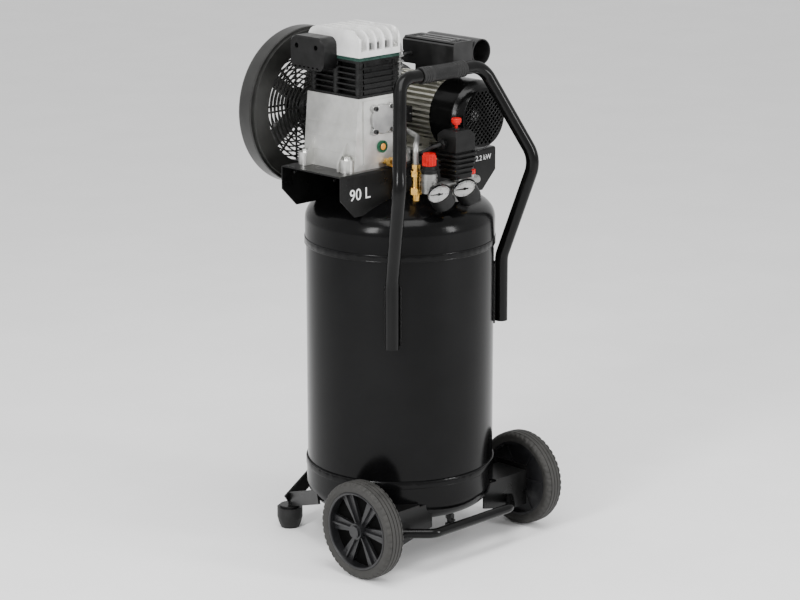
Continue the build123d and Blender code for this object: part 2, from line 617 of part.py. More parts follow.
# ---- motor --------------------------------------------------------------------------
def motor_feet():
    return [(MOTOR[0] + sx * 62, y) for sx in (-1, 1) for y in (30, 100)]


def motor_housing():
    """Extruded aluminium frame with lengthwise fins, feet and a box seat."""
    x, z = MOTOR
    body = tube_y(FRAME_R, x, MOTOR_FRONT, MOTOR_BACK, z)
    for index in range(FINS):
        angle = 360 / FINS * index
        fin = Pos(x, MOTOR_FRONT, z) * Rot(0, angle, 0) * block(
            FRAME_R - 3, FIN_R, 0, MOTOR_BACK - MOTOR_FRONT, -FIN_T / 2, FIN_T / 2)
        body += fin
    body += block(x - 36, x + 34, 0, 66, z + 50, SEAT_Z)
    for side in (-1, 1):
        body += block(min(x + side * 40, x + side * 76), max(x + side * 40, x + side * 76),
                      15, 115, PLATE_TOP, PLATE_TOP + 8)
        body += block(min(x + side * 40, x + side * 46), max(x + side * 40, x + side * 46),
                      15, 115, PLATE_TOP, z - 40)
    body -= tube_y(56, x, MOTOR_FRONT, MOTOR_BACK, z)
    for fx, fy in motor_feet():
        body -= tube_z(4, fx, fy, PLATE_TOP - 1, PLATE_TOP + 9)
        body -= tube_z(9, fx, fy, PLATE_TOP + 8, PLATE_TOP + 30)
    return max(body.solids(), key=lambda solid: solid.volume)


def motor_end_shields():
    """Cast shields that hold the motor's bearings."""
    x, z = MOTOR
    shields = []
    for outer, inner, face in ((MOTOR_FRONT - 10, MOTOR_FRONT, MOTOR_FRONT),
                               (MOTOR_BACK + 12, MOTOR_BACK, MOTOR_BACK)):
        low, high = min(outer, inner), max(outer, inner)
        plate = tube_y(72, x, low, high, z) + tube_y(56, x, face - 7, face + 7, z)
        plate -= tube_y(26, x, MOTOR_FRONT - 8, MOTOR_FRONT + 7, z)
        plate -= tube_y(26, x, MOTOR_BACK - 7, MOTOR_BACK + 8, z)
        plate -= tube_y(15.5, x, low - 1, high + 1, z)
        shields.append(plate)
    return group(*shields)


def stator():
    """Laminated stator with slots and its winding heads."""
    x, z = MOTOR
    core = ring_y(56, 35, x, STATOR_FRONT, STATOR_BACK, z)
    length = STATOR_BACK - STATOR_FRONT
    for index in range(24):
        core -= Pos(x, STATOR_FRONT, z) * Rot(0, 15 * index, 0) * block(34, 44, 0, length, -1.5, 1.5)
    core += ring_y(52, 44.5, x, STATOR_FRONT - 16, STATOR_FRONT, z)
    core += ring_y(52, 44.5, x, STATOR_BACK, STATOR_BACK + 16, z)
    return core


def motor_rotor():
    """Squirrel-cage rotor on the motor shaft."""
    x, z = MOTOR
    body = tube_y(34.5, x, STATOR_FRONT, STATOR_BACK, z)
    body += tube_y(JOURNAL_R, x, MOTOR_FRONT - 8, MOTOR_BACK + 8, z)
    body += tube_y(SHAFT_R, x, COVER_FRONT + 26, BELT_Y + 16, z)
    return body


def cooling_fan():
    """Radial fan on the front end of the motor shaft."""
    x, z = MOTOR
    y0, y1 = COVER_FRONT + 28, MOTOR_FRONT - 14
    fan = tube_y(18, x, y0, y1, z) + tube_y(60, x, y1 - 3, y1, z)
    for index in range(8):
        blade = Pos(x, y0, z) * Rot(0, 45 * index, 0) * block(14, 60, 0, y1 - y0, -1.2, 1.2)
        fan += blade
    return fan - tube_y(SHAFT_R, x, y0, y1, z)


def fan_cover():
    """Stepped cover over the fan, with a lattice in its end."""
    x, z = MOTOR
    back, front = MOTOR_FRONT, COVER_FRONT
    outline = Polyline((0, back), (COVER_R, back), (COVER_R, front + 26), (COVER_R - 7, front + 11),
                       (COVER_R - 15, front), (0, front), close=True)
    cavity = Polyline((0, back), (COVER_R - 2, back), (COVER_R - 2, front + 26), (COVER_R - 9, front + 12),
                      (COVER_R - 17, front + 3), (0, front + 3), close=True)
    cover = revolve(make_face(outline), Axis.Y) - revolve(make_face(cavity), Axis.Y)
    pitch, hole, reach = 8.4, 5.8, COVER_R - 20
    rows = range(-int(reach / pitch), int(reach / pitch) + 1)
    squares = [Pos(row * pitch, column * pitch) * Rectangle(hole, hole)
               for row in rows for column in rows if hypot(row, column) * pitch < reach]
    lattice = Plane(origin=(0, front + 4, 0), z_dir=(0, -1, 0)) * Rot(0, 0, 45) * Sketch(children=squares)
    cover -= extrude(lattice, 5)
    return Pos(x, 0, z) * cover


def terminal_box():
    """Moulded box for the terminals with an open tube for the start capacitor."""
    (x0, x1), y0, y1, (z0, z1) = BOX_X, BOX_FRONT, BOX_BACK, BOX_Z
    tube_x0, tube_z0, tube_r = CAPACITOR_X, CAPACITOR_Z, 28.0
    box = block(x0, x1, y0, y1, z0, z1)
    long_edge = box.edges().filter_by(Axis.Y).group_by(Axis.X)[0].group_by(Axis.Z)[-1]
    box = chamfer(long_edge, 8)
    box += block(x0 + 34, MOTOR[0] + 34, y0 + 80, y1 - 4, SEAT_Z, z0 + 4)
    box += block(x1 - 4, tube_x0, y0 + 6, y1 - 6, tube_z0 - 14, tube_z0 + 24)
    box += tube_y(tube_r, tube_x0, y0, y1, tube_z0)
    box -= block(x0 + 3, x1 - 4, y0 + 3, y1 - 3, z0 + 3, z1 - 3)
    box -= tube_y(tube_r - 2.5, tube_x0, y0, y1 - 3, tube_z0)
    return box


def capacitor():
    """Start capacitor inside the open tube."""
    y = BOX_FRONT + 57
    return tube_y(25.5, CAPACITOR_X, y, BOX_BACK - 3, CAPACITOR_Z) + tube_y(5, CAPACITOR_X, y - 6, y, CAPACITOR_Z)


def motor_pulley():
    """V-belt pulley on the motor shaft."""
    x, z = MOTOR
    wheel = tube_y(PULLEY_R, x, BELT_Y - 11, BELT_Y + 11, z)
    groove = BELT_W / 2 + BELT_GAP
    wheel -= ring_y(PULLEY_R + 1, PULLEY_R - BELT_H, x, BELT_Y - groove, BELT_Y + groove, z)
    return wheel - tube_y(SHAFT_R, x, BELT_Y - 11, BELT_Y + 11, z)


def flywheel():
    """Fan-spoked flywheel pulley on the crankshaft."""
    x, z = CRANK
    rim_ring = ring_y(FLYWHEEL_R, FLYWHEEL_R - 14, x, BELT_Y - 14, BELT_Y + 14, z)
    groove = BELT_W / 2 + BELT_GAP
    rim_ring -= ring_y(FLYWHEEL_R + 1, FLYWHEEL_R - BELT_H, x, BELT_Y - groove, BELT_Y + groove, z)
    wheel = rim_ring + tube_y(24, x, BELT_Y - 15, BELT_Y + 15, z)
    for index in range(5):
        blade = Rot(0, 72 * index, 0) * Pos(70, 0, 0) * Rot(28, 0, 0) * Box(104, 6, 34)
        wheel += Pos(x, BELT_Y, z) * blade
    return wheel - tube_y(SHAFT_R, x, BELT_Y - 16, BELT_Y + 16, z)


def hull_y(crank_r, motor_r, y0, y1):
    """Slab around both shafts: two circles and their common tangents."""
    dx, dz = MOTOR[0] - CRANK[0], MOTOR[1] - CRANK[1]
    reach = hypot(dx, dz)
    lean = asin_ratio(crank_r - motor_r, reach)
    base = atan2(dz, dx)
    points = []
    for sign in (1, -1):
        angle = base + sign * (pi / 2 - lean)
        points.append(((CRANK[0] + crank_r * cos(angle), CRANK[1] + crank_r * sin(angle)),
                       (MOTOR[0] + motor_r * cos(angle), MOTOR[1] + motor_r * sin(angle))))
    (top_crank, top_motor), (low_crank, low_motor) = points
    far_crank = (CRANK[0] - crank_r * cos(base), CRANK[1] - crank_r * sin(base))
    far_motor = (MOTOR[0] + motor_r * cos(base), MOTOR[1] + motor_r * sin(base))
    edges = [Line(top_crank, top_motor), ThreePointArc(top_motor, far_motor, low_motor),
             Line(low_motor, low_crank), ThreePointArc(low_crank, far_crank, top_crank)]
    face = make_face([Plane.XZ * edge for edge in edges])
    return Pos(0, y0, 0) * extrude(face, y1 - y0, dir=(0, 1, 0))


def asin_ratio(part, whole):
    """Angle whose sine is part over whole."""
    return atan2(part, sqrt(whole * whole - part * part))


def drive_belt():
    """V-belt around the flywheel and the motor pulley."""
    y0, y1 = BELT_Y - BELT_W / 2, BELT_Y + BELT_W / 2
    outer = hull_y(FLYWHEEL_R + BELT_GAP, PULLEY_R + BELT_GAP, y0, y1)
    return outer - hull_y(FLYWHEEL_R + BELT_GAP - BELT_H, PULLEY_R + BELT_GAP - BELT_H, y0, y1)


def grille_slots(y0, y1):
    """What is cut away for the ring-and-spoke grille around the crankshaft."""
    x, z = CRANK
    pitch = (GRILLE_R - GRILLE_HUB) / GRILLE_RINGS
    slots = None
    for index in range(GRILLE_RINGS):
        inner = GRILLE_HUB + index * pitch
        slot = ring_y(inner + pitch - RING_W, inner, x, y0, y1, z)
        slots = slot if slots is None else slots + slot
    for index in range(4):
        slots -= Pos(x, (y0 + y1) / 2, z) * Rot(0, 45 * index, 0) * Box(2 * GRILLE_R, y1 - y0 + 2, 4)
    return slots


def guard_outer():
    """Back half of the belt guard, a deep dish with a grille."""
    shell = hull_y(GUARD_R, GUARD_SMALL_R, GUARD_SPLIT, GUARD_OUT)
    shell = fillet(shell.faces().sort_by(Axis.Y)[-1].edges(), 12)
    shell -= hull_y(GUARD_R - GUARD_T, GUARD_SMALL_R - GUARD_T, GUARD_SPLIT, GUARD_OUT - 12)
    shell -= hull_y(GUARD_R - 12, GUARD_SMALL_R - 12, GUARD_SPLIT, GUARD_OUT - GUARD_T)
    return shell - grille_slots(GUARD_OUT - GUARD_T - 1, GUARD_OUT + 1)


def guard_inner():
    """Front half of the belt guard, with the grille and holes for both shafts."""
    lip = 6.0
    shell = hull_y(GUARD_R - lip, GUARD_SMALL_R - lip, GUARD_IN, GUARD_SPLIT)
    shell -= hull_y(GUARD_R - lip - GUARD_T, GUARD_SMALL_R - lip - GUARD_T, GUARD_IN + GUARD_T, GUARD_SPLIT)
    shell += hull_y(GUARD_R - 0.5, GUARD_SMALL_R - 0.5, GUARD_SPLIT - 3, GUARD_SPLIT) - hull_y(
        GUARD_R - lip - 1, GUARD_SMALL_R - lip - 1, GUARD_SPLIT - 3, GUARD_SPLIT)
    shell -= grille_slots(GUARD_IN - 1, GUARD_IN + GUARD_T + 1)
    shell -= tube_y(GRILLE_HUB - 4, CRANK[0], GUARD_IN - 1, GUARD_IN + GUARD_T + 1, CRANK[1])
    shell -= tube_y(32, MOTOR[0], GUARD_IN - 1, GUARD_IN + GUARD_T + 1, MOTOR[1])
    shell += block(CRANK[0] - 16, CRANK[0] + 16, PUMP_BACK, GUARD_IN + 1, PLATE_TOP + 40, PLATE_TOP + 46)
    shell += block(MOTOR[0] - 14, MOTOR[0] + 14, MOTOR_BACK + 12, GUARD_IN + 1, MOTOR[1] + 50, MOTOR[1] + 56)
    return shell


# ---- controls -----------------------------------------------------------------------
def switch_body():
    """Ribbed lower half of the pressure switch."""
    x, y = SWITCH
    body = block(x - 24, x + 24, y - 22, y + 22, SWITCH_LOW, SWITCH_SPLIT)
    for index in range(5):
        level = SWITCH_LOW + 8 + index * 10.5
        half = 29 + index * 1.4
        rib = extrude(Pos(x, y, level) * RectangleRounded(2 * half, 2 * half - 2, 15), 4)
        body += rib
    body += tube_z(13, x, y, SWITCH_LOW - 2, SWITCH_LOW)
    return body


def switch_cover():
    """Box cover of the pressure switch with bevelled shoulders and a cable gland."""
    x, y = SWITCH
    cover = block(x - 29, x + 29, y - 27, y + 27, SWITCH_SPLIT, SWITCH_TOP)
    shoulders = cover.faces().sort_by(Axis.Z)[-1].edges()
    cover = chamfer(shoulders, 9)
    cover = cover - block(x - 26, x + 26, y - 24, y + 24, SWITCH_SPLIT, SWITCH_TOP - 10)
    cover += tube_z(7, x, y, SWITCH_TOP - 14, SWITCH_TOP + 3)
    cover += tube_x(7.5, x - 41, x - 28, y + 6, SWITCH_SPLIT + 16)
    cover -= tube_z(3.3, x, y, SWITCH_TOP - 15, SWITCH_TOP + 4)
    cover -= tube_x(4.5, x - 42, x - 20, y + 6, SWITCH_SPLIT + 16)
    return cover


def switch_knob():
    """Red pull knob on its rod, down in the running position."""
    x, y = SWITCH
    low = SWITCH_TOP + 11
    knob = tube_z(8, x, y, low, low + 6) + tube_z(10.5, x, y, low + 4, low + 13)
    knob = chamfer(knob.faces().sort_by(Axis.Z)[-1].edges(), 1.5)
    return knob + tube_z(3.2, x, y, SWITCH_TOP - 12, low)


def air_manifold():
    """Aluminium block under the switch that feeds the gauges and the outlet."""
    x0, x1 = REGULATOR_X - 6, OUTLET_X + 8
    y, z = MANIFOLD_Y, MANIFOLD_Z
    body = tube_x(10, x0, x1, y, z)
    body += tube_z(16, REGULATOR_X, y, z - 8, BONNET_LOW)
    for level in (8, 17, 26):
        body += tube_z(17.5, REGULATOR_X, y, z + level, z + level + 4)
    body += tube_z(13, SWITCH[0], y, crown_height(hypot(*SWITCH)) - 2, SWITCH_LOW - 2)
    body += tube_z(8, OUTLET_X, y, z, z + 13)
    body += tube_x(8, x1, x1 + 12, y, z)
    body += hexagon(19, Plane(origin=(x1 - 1, y, z), z_dir=(1, 0, 0)), 6)
    body -= tube_x(5, x1 - 3, x1 + 12, y, z)
    body -= tube_z(5.05, REGULATOR_X, y, BONNET_LOW - 10, BONNET_LOW)
    body -= tube_z(3.05, OUTLET_X, y, z + 5, z + 13)
    return body - dome_solid(0, SEAM_HIGH)


def regulator_bonnet():
    """Black bonnet that holds the regulator's spring."""
    x, y = REGULATOR_X, MANIFOLD_Y
    body = tube_z(17.5, x, y, BONNET_LOW, BONNET_LOW + 8) + tube_z(14, x, y, BONNET_LOW + 8, BONNET_TOP)
    return body - tube_z(5.05, x, y, BONNET_LOW, BONNET_TOP)


def regulator_knob():
    """Ribbed red knob with its screw."""
    x, y = REGULATOR_X, MANIFOLD_Y
    low = BONNET_TOP + 0.6
    knob = tube_z(13, x, y, low, low + 25)
    for index in range(16):
        angle = radians(22.5 * index)
        knob += tube_z(1.6, x + 13 * cos(angle), y + 13 * sin(angle), low, low + 21)
    return knob + tube_z(5, x, y, BONNET_LOW + 1, low)


def gauge_plane(centre, back=0.0):
    """Plane of a gauge's face, moved back into its case."""
    origin = Vector(*centre) - GAUGE_FACE * back
    return Plane(origin=origin, x_dir=(0, -1, 0), z_dir=GAUGE_FACE)


def gauge_cases():
    """Two pressure gauge cases, open at the dial."""
    cases = []
    for centre in GAUGES:
        case = extrude(gauge_plane(centre, GAUGE_D) * Circle(GAUGE_R), GAUGE_D + 2)
        case -= extrude(gauge_plane(centre, DIAL_DEPTH) * Circle(GAUGE_R - GAUGE_WALL), DIAL_DEPTH + 4)
        cases.append(case)
    return group(*cases)


def gauge_lenses():
    """Clear discs in the mouths of the gauges."""
    lenses = [extrude(gauge_plane(centre, 0.2) * Circle(GAUGE_R - GAUGE_WALL), 1.4) for centre in GAUGES]
    return group(*lenses)


def gauge_needle(centre):
    """Pointer just above the dial."""
    outline = make_face(Polyline((-8, -1.6), (19, -0.5), (19, 0.5), (-8, 1.6), close=True))
    needle = extrude(outline, 1) + extrude(Circle(3), 1.6)
    return gauge_plane(centre, DIAL_DEPTH - 1) * (Rot(0, 0, GAUGE_ZERO) * needle)


def brass_fittings():
    """Gauge stems and the oil drain plug."""
    pieces = []
    manifold = air_manifold()
    for centre in GAUGES:
        back = Vector(*centre) - GAUGE_FACE * GAUGE_D
        elbow = back - GAUGE_FACE * 8
        run = Vector(elbow.X, MANIFOLD_Y - 2, MANIFOLD_Z - 3)
        stem = bar(back, elbow, 6) + bar(elbow, run, 6)
        stem += Pos(*elbow) * Sphere(7)
        stem -= manifold
        stem -= extrude(gauge_plane(centre, GAUGE_D) * Circle(GAUGE_R + 0.3), GAUGE_D)
        stem = max(stem.solids(), key=lambda solid: solid.volume)
        pieces.append(stem - dome_solid(-0.5, SEAM_HIGH))
    x, z = CRANK[0] + 14, OIL_PLUG_Z
    plug = tube_y(7, x, PUMP_FRONT - 14, PUMP_FRONT + 2, z)
    plug += hexagon(19, Plane(origin=(x, PUMP_FRONT - 24, z), z_dir=(0, 1, 0)), 10)
    pieces.append(plug)
    return group(*pieces)


def check_valve():
    """Brass non-return valve between the discharge pipe and the tank."""
    x, y = CHECK_VALVE
    low = crown_height(hypot(x, y))
    body = tube_z(9, x, y, low - 2, 836)
    body += hexagon(24, Plane(origin=(x, y, low + 12)), 14)
    body += hexagon(21, Plane(origin=(x, y, 820)), 12)
    body += hexagon(17, Plane(origin=(x, y, 836)), 9)
    body += tube_x(5, x, x + 16, y, 812)
    body += hexagon(12, Plane(origin=(x + 11, y, 812), z_dir=(1, 0, 0)), 6)
    body -= tube_z(6, x, y, 838, 846)
    body -= tube_x(3, x + 5, x + 18, y, 812)
    return body - dome_solid(0, SEAM_HIGH)


def unloader_tube():
    """Thin copper line from the check valve to the switch."""
    x, y = CHECK_VALVE
    end_x, end_z = SWITCH[0] - 13, SWITCH_LOW + 36.25
    points = [(x + 16, y, 812), (-20, y, 812), (-6, y + 8, 826), (end_x, y + 8, end_z),
              (end_x, SWITCH[1] + 22, end_z)]
    return bent(points, [8, 9, 9], 2.9, 2)


def motor_lead():
    """Lead from the switch's gland, between pump and motor, up to the terminal box."""
    gland_x, gland_y, gland_z = SWITCH[0] - 41, SWITCH[1] + 6, SWITCH_SPLIT + 16
    points = [(gland_x, gland_y, gland_z), (gland_x - 18, gland_y, gland_z - 2), (-38, -98, 866), (-16, -62, 852),
              (12, -20, 846), (38, 40, 848), (46, 62, 900), (46, 62, 1000), (56, 44, 1046), (BOX_X[0], 44, 1046)]
    return bent(points, [8, 14, 22, 60, 22, 40, 30, 10], 4)


def drain_valve():
    """Brass drain cock under the tank."""
    x, y = DRAIN
    body = tube_z(5, x, y, 40, DRAIN_TOP + 6) + hexagon(17, Plane(origin=(x, y, 36)), 9) + tube_z(6.5, x, y, 30, 36)
    body += tube_y(3, x, y - 14, y, 34)
    return body - tube_z(3.05, x, y, 29, 36)


def drain_wing():
    """Wing screw that opens the drain."""
    x, y = DRAIN
    wing = tube_z(3, x, y, 22, 35) + tube_z(6, x, y, 22, 29.2)
    return wing + block(x - 13, x + 13, y - 1.6, y + 1.6, 17, 28)


def outlet_knob():
    """Red tap of the air outlet."""
    z = MANIFOLD_Z + 13.4
    knob = tube_z(7.5, OUTLET_X, MANIFOLD_Y, z, z + 9) + block(
        OUTLET_X - 10, OUTLET_X + 10, MANIFOLD_Y - 3, MANIFOLD_Y + 3, z, z + 9)
    return knob + tube_z(3, OUTLET_X, MANIFOLD_Y, MANIFOLD_Z + 6, z)


def place_wheel(shape, side):
    return shape if side > 0 else mirrored(shape)


TOP_DEAD = CRANK[1] + STROKE / 2 + ROD_L + 24
FRONT_CYLINDER, REAR_CYLINDER = cylinder_ys()

NODES = {
    "tank_shell": tank_shell,
    "tank_top_dome": top_dome,
    "tank_bottom_dome": bottom_dome,
    "platform": platform,
    "handle_frame": handle_frame,
    "handle_grip": handle_grip,
    "wheel_brackets": wheel_brackets,
    "front_rail": front_rail,
    "wheel_axles": wheel_axles,
    "foot_struts": foot_struts,
    "rubber_feet": rubber_feet,
    "crankcase": crankcase,
    "bearing_cover": bearing_cover,
    "cover_screws": cover_screws,
    "sight_glass": sight_glass,
    "oil_breather": oil_breather,
    "cylinder_block": cylinder_block,
    "valve_plate": valve_plate,
    "cylinder_head": cylinder_head,
    "zinc_bolts": zinc_bolts,
    "air_filter": air_filter,
    "discharge_pipe": discharge_pipe,
    "check_valve": check_valve,
    "brass_fittings": brass_fittings,
    "unloader_tube": unloader_tube,
    "ball_bearings": crank_bearings,
    "crankshaft": crankshaft,
    "flywheel": flywheel,
    "piston_front": lambda: piston(FRONT_CYLINDER, TOP_DEAD),
    "piston_rear": lambda: piston(REAR_CYLINDER, TOP_DEAD - STROKE),
    "motor_housing": motor_housing,
    "motor_end_shields": motor_end_shields,
    "stator": stator,
    "motor_rotor": motor_rotor,
    "cooling_fan": cooling_fan,
    "motor_pulley": motor_pulley,
    "fan_cover": fan_cover,
    "terminal_box": terminal_box,
    "capacitor": capacitor,
    "guard_inner": guard_inner,
    "guard_outer": guard_outer,
    "drive_belt": drive_belt,
    "switch_body": switch_body,
    "switch_cover": switch_cover,
    "switch_knob": switch_knob,
    "air_manifold": air_manifold,
    "regulator_bonnet": regulator_bonnet,
    "regulator_knob": regulator_knob,
    "gauge_cases": gauge_cases,
    "gauge_lenses": gauge_lenses,
    "needle_left": lambda: gauge_needle(GAUGES[0]),
    "needle_right": lambda: gauge_needle(GAUGES[1]),
    "outlet_knob": outlet_knob,
    "motor_lead": motor_lead,
    "drain_valve": drain_valve,
    "drain_wing": drain_wing,
    "tyre_left": lambda: place_wheel(tyre(), -1),
    "tyre_right": lambda: place_wheel(tyre(), 1),
    "rim_left": lambda: place_wheel(rim(), -1),
    "rim_right": lambda: place_wheel(rim(), 1),
}

os.makedirs("parts", exist_ok=True)
for name, build in NODES.items():
    export_step(build(), f"parts/{name}.step")
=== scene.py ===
"""Looks of an upright belt-driven air compressor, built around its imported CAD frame. Metres."""
import json
from math import atan2, cos, pi, radians, sin

import bmesh
import bpy
from mathutils import Matrix, Vector


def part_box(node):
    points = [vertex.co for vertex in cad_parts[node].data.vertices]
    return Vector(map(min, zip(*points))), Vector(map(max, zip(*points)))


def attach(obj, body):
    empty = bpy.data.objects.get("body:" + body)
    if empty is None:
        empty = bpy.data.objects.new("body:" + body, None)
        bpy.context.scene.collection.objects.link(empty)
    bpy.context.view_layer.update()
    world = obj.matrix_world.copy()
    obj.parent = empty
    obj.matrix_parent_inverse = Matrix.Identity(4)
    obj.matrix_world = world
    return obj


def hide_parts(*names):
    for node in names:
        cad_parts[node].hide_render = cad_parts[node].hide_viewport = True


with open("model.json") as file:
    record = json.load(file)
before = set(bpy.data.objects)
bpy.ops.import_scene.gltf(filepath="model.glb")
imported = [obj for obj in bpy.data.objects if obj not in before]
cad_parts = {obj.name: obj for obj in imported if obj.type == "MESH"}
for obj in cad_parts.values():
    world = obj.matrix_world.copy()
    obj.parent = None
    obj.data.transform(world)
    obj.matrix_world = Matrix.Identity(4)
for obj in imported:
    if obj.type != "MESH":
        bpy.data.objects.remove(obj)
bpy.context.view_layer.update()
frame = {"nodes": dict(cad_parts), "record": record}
nodes = frame["nodes"]
joints = {joint["name"]: joint for joint in frame["record"]["behaviour"]["joints"]}

MM = 0.001
COAT_ROUGHNESS = 0.1


# ---- places read from the frame --------------------------------------------------------
def span(node):
    """(lowest corner, highest corner, middle) of a CAD node as vectors."""
    low, high = (Vector(corner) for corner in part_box(node))
    return low, high, (low + high) / 2


TANK_R = span("tank_shell")[1].x
PLATE_LOW = span("platform")[0]
TYRE_LOW, TYRE_HIGH, TYRE_MID = span("tyre_right")
TYRE_R = (TYRE_HIGH.z - TYRE_LOW.z) / 2
TYRE_HALF = (TYRE_HIGH.x - TYRE_LOW.x) / 2
RIM_R = (span("rim_right")[1].z - span("rim_right")[0].z) / 2
WHEEL_X = TYRE_MID.x
WHEEL_Y = TYRE_MID.y
CRANK_X, CRANK_Z = joints["crank_spin"]["pos_m"][0], joints["crank_spin"]["pos_m"][2]
MOTOR_X, MOTOR_Z = joints["motor_spin"]["pos_m"][0], joints["motor_spin"]["pos_m"][2]


# ---- materials -------------------------------------------------------------------------
def add_node(material, kind, **settings):
    """New shader node with the given properties and input values."""
    node = material.node_tree.nodes.new(kind)
    for key, value in settings.items():
        if hasattr(node, key):
            setattr(node, key, value)
        else:
            node.inputs[key.replace("_", " ")].default_value = value
    return node


def noise(material, scale, detail=4.0):
    """Noise in the object's own metres."""
    links = material.node_tree.links
    place = add_node(material, "ShaderNodeTexCoord")
    texture = add_node(material, "ShaderNodeTexNoise", Scale=scale, Detail=detail, Roughness=0.6)
    links.new(place.outputs["Object"], texture.inputs["Vector"])
    return texture.outputs["Fac"]


def spread(material, source, low, high, start=0.35, end=0.65):
    """Maps a 0..1 texture to low..high."""
    node = add_node(material, "ShaderNodeMapRange")
    for socket, value in (("From Min", start), ("From Max", end), ("To Min", low), ("To Max", high)):
        node.inputs[socket].default_value = value
    material.node_tree.links.new(source, node.inputs["Value"])
    return node.outputs["Result"]


def tint(material, source, dark, light, start=0.35, end=0.65):
    """Blends two colours by a 0..1 texture."""
    node = add_node(material, "ShaderNodeValToRGB")
    node.color_ramp.elements[0].position = start
    node.color_ramp.elements[0].color = (*dark, 1)
    node.color_ramp.elements[1].position = end
    node.color_ramp.elements[1].color = (*light, 1)
    material.node_tree.links.new(source, node.inputs["Fac"])
    return node.outputs["Color"]


def finish(name, dark, light, rough, patch=30.0, grain=900.0, relief=0.1, depth=0.0003,
           metallic=0.0, coat=0.0, specular=0.5):
    """Procedural finish: colour and roughness in patches, and a fine relief of grain."""
    material = bpy.data.materials.new(name)
    material.use_nodes = True
    links = material.node_tree.links
    shader = material.node_tree.nodes["Principled BSDF"]
    shader.inputs["Metallic"].default_value = metallic
    shader.inputs["Coat Weight"].default_value = coat
    shader.inputs["Coat Roughness"].default_value = COAT_ROUGHNESS
    shader.inputs["Specular IOR Level"].default_value = specular
    patches = noise(material, patch, 5.0)
    fine = noise(material, grain, 3.0)
    links.new(tint(material, patches, dark, light), shader.inputs["Base Color"])
    links.new(spread(material, patches, *rough), shader.inputs["Roughness"])
    bump = add_node(material, "ShaderNodeBump", Strength=relief, Distance=depth)
    links.new(fine, bump.inputs["Height"])
    links.new(bump.outputs["Normal"], shader.inputs["Normal"])
    return material


def clear_glass():
    """Clear lens for the gauges."""
    material = bpy.data.materials.new("lens_clear")
    material.use_nodes = True
    shader = material.node_tree.nodes["Principled BSDF"]
    shader.inputs["Transmission Weight"].default_value = 1.0
    shader.inputs["IOR"].default_value = 1.2
    links = material.node_tree.links
    smears = noise(material, 60.0)
    links.new(spread(material, smears, 0.01, 0.06), shader.inputs["Roughness"])
    return material


def gloss_paint():
    """Deep black stove enamel of the tank, with a slight orange peel."""
    return finish("tank_paint", (0.0016, 0.0016, 0.0017), (0.003, 0.003, 0.0032), (0.15, 0.21), patch=9.0,
                  grain=420.0, relief=0.05, depth=0.0004, specular=0.12)


def cast_metal(name, dark, light, rough, relief, metallic=0.8):
    """Sand-cast aluminium: mottled, with a coarse grain."""
    return finish(name, dark, light, rough, patch=24.0, grain=1100.0, relief=relief, depth=0.0005,
                  metallic=metallic)


PAINT = gloss_paint()
TUBE_PAINT = finish("tube_paint", (0.002, 0.002, 0.002), (0.0035, 0.0035, 0.0035), (0.16, 0.23), patch=14.0,
                    grain=600.0, relief=0.05, specular=0.16)
SHEET_PAINT = finish("sheet_paint", (0.003, 0.003, 0.003), (0.006, 0.006, 0.006), (0.26, 0.36), patch=18.0,
                     grain=700.0, relief=0.08, specular=0.2)
GUARD = finish("guard_plastic", (0.008, 0.008, 0.0075), (0.014, 0.014, 0.013), (0.32, 0.42), patch=22.0,
               grain=1300.0, relief=0.16, depth=0.0003, specular=0.5)
FINE_PLASTIC = finish("fine_plastic", (0.004, 0.004, 0.004), (0.008, 0.008, 0.008), (0.3, 0.42), patch=40.0,
                      grain=1500.0, relief=0.14, depth=0.0003, specular=0.18)
RIM_PLASTIC = finish("rim_moulded", (0.009, 0.009, 0.01), (0.016, 0.016, 0.017), (0.28, 0.38), patch=35.0,
                     grain=1200.0, relief=0.08, specular=0.4)
# Near-black, dull finish of the wheels' web: painted shade for the recesses between the spokes, darker than
# the rim plastic itself.
WEB_PAINTED_SHADE = finish("rim_recess_painted_shade", (0.001, 0.001, 0.001), (0.002, 0.002, 0.002), (0.6, 0.75), patch=35.0,
                  grain=1200.0, relief=0.1, specular=0.05)
TYRE = finish("tyre_rubber", (0.02, 0.0195, 0.018), (0.032, 0.031, 0.029), (0.6, 0.75), patch=60.0,
              grain=1800.0, relief=0.3, depth=0.0004, specular=0.35)
RUBBER = finish("soft_rubber", (0.007, 0.007, 0.007), (0.013, 0.013, 0.013), (0.4, 0.55), patch=50.0,
                grain=1600.0, relief=0.15, specular=0.25)
CASE_METAL = cast_metal("crankcase_cast", (0.5, 0.5, 0.48), (0.62, 0.62, 0.6), (0.3, 0.42), 0.35)
HEAD_METAL = cast_metal("head_cast", (0.76, 0.76, 0.75), (0.9, 0.9, 0.89), (0.32, 0.44), 0.24, 0.5)
COVER_METAL = cast_metal("cover_cast", (0.3, 0.3, 0.3), (0.42, 0.42, 0.41), (0.3, 0.42), 0.12)
MOTOR_METAL = cast_metal("motor_cast", (0.5, 0.49, 0.43), (0.66, 0.65, 0.58), (0.42, 0.56), 0.25)
DULL_METAL = cast_metal("dull_aluminium", (0.2, 0.2, 0.195), (0.34, 0.34, 0.33), (0.24, 0.38), 0.15)
BLOCK_IRON = finish("block_iron", (0.003, 0.003, 0.003), (0.008, 0.008, 0.008), (0.26, 0.4), patch=70.0,
                    grain=1000.0, relief=0.25, depth=0.0005, specular=0.25)
ZINC = finish("zinc_plate", (0.5, 0.5, 0.48), (0.72, 0.72, 0.7), (0.2, 0.34), patch=120.0, grain=2200.0,
              relief=0.08, metallic=1.0)
STEEL = finish("ground_steel", (0.42, 0.42, 0.42), (0.6, 0.6, 0.6), (0.22, 0.36), patch=90.0, grain=2500.0,
               relief=0.06, metallic=1.0)
GASKET = finish("gasket_steel", (0.012, 0.04, 0.03), (0.03, 0.075, 0.06), (0.35, 0.5), patch=150.0,
                grain=2000.0, relief=0.1, metallic=0.3, specular=0.3)
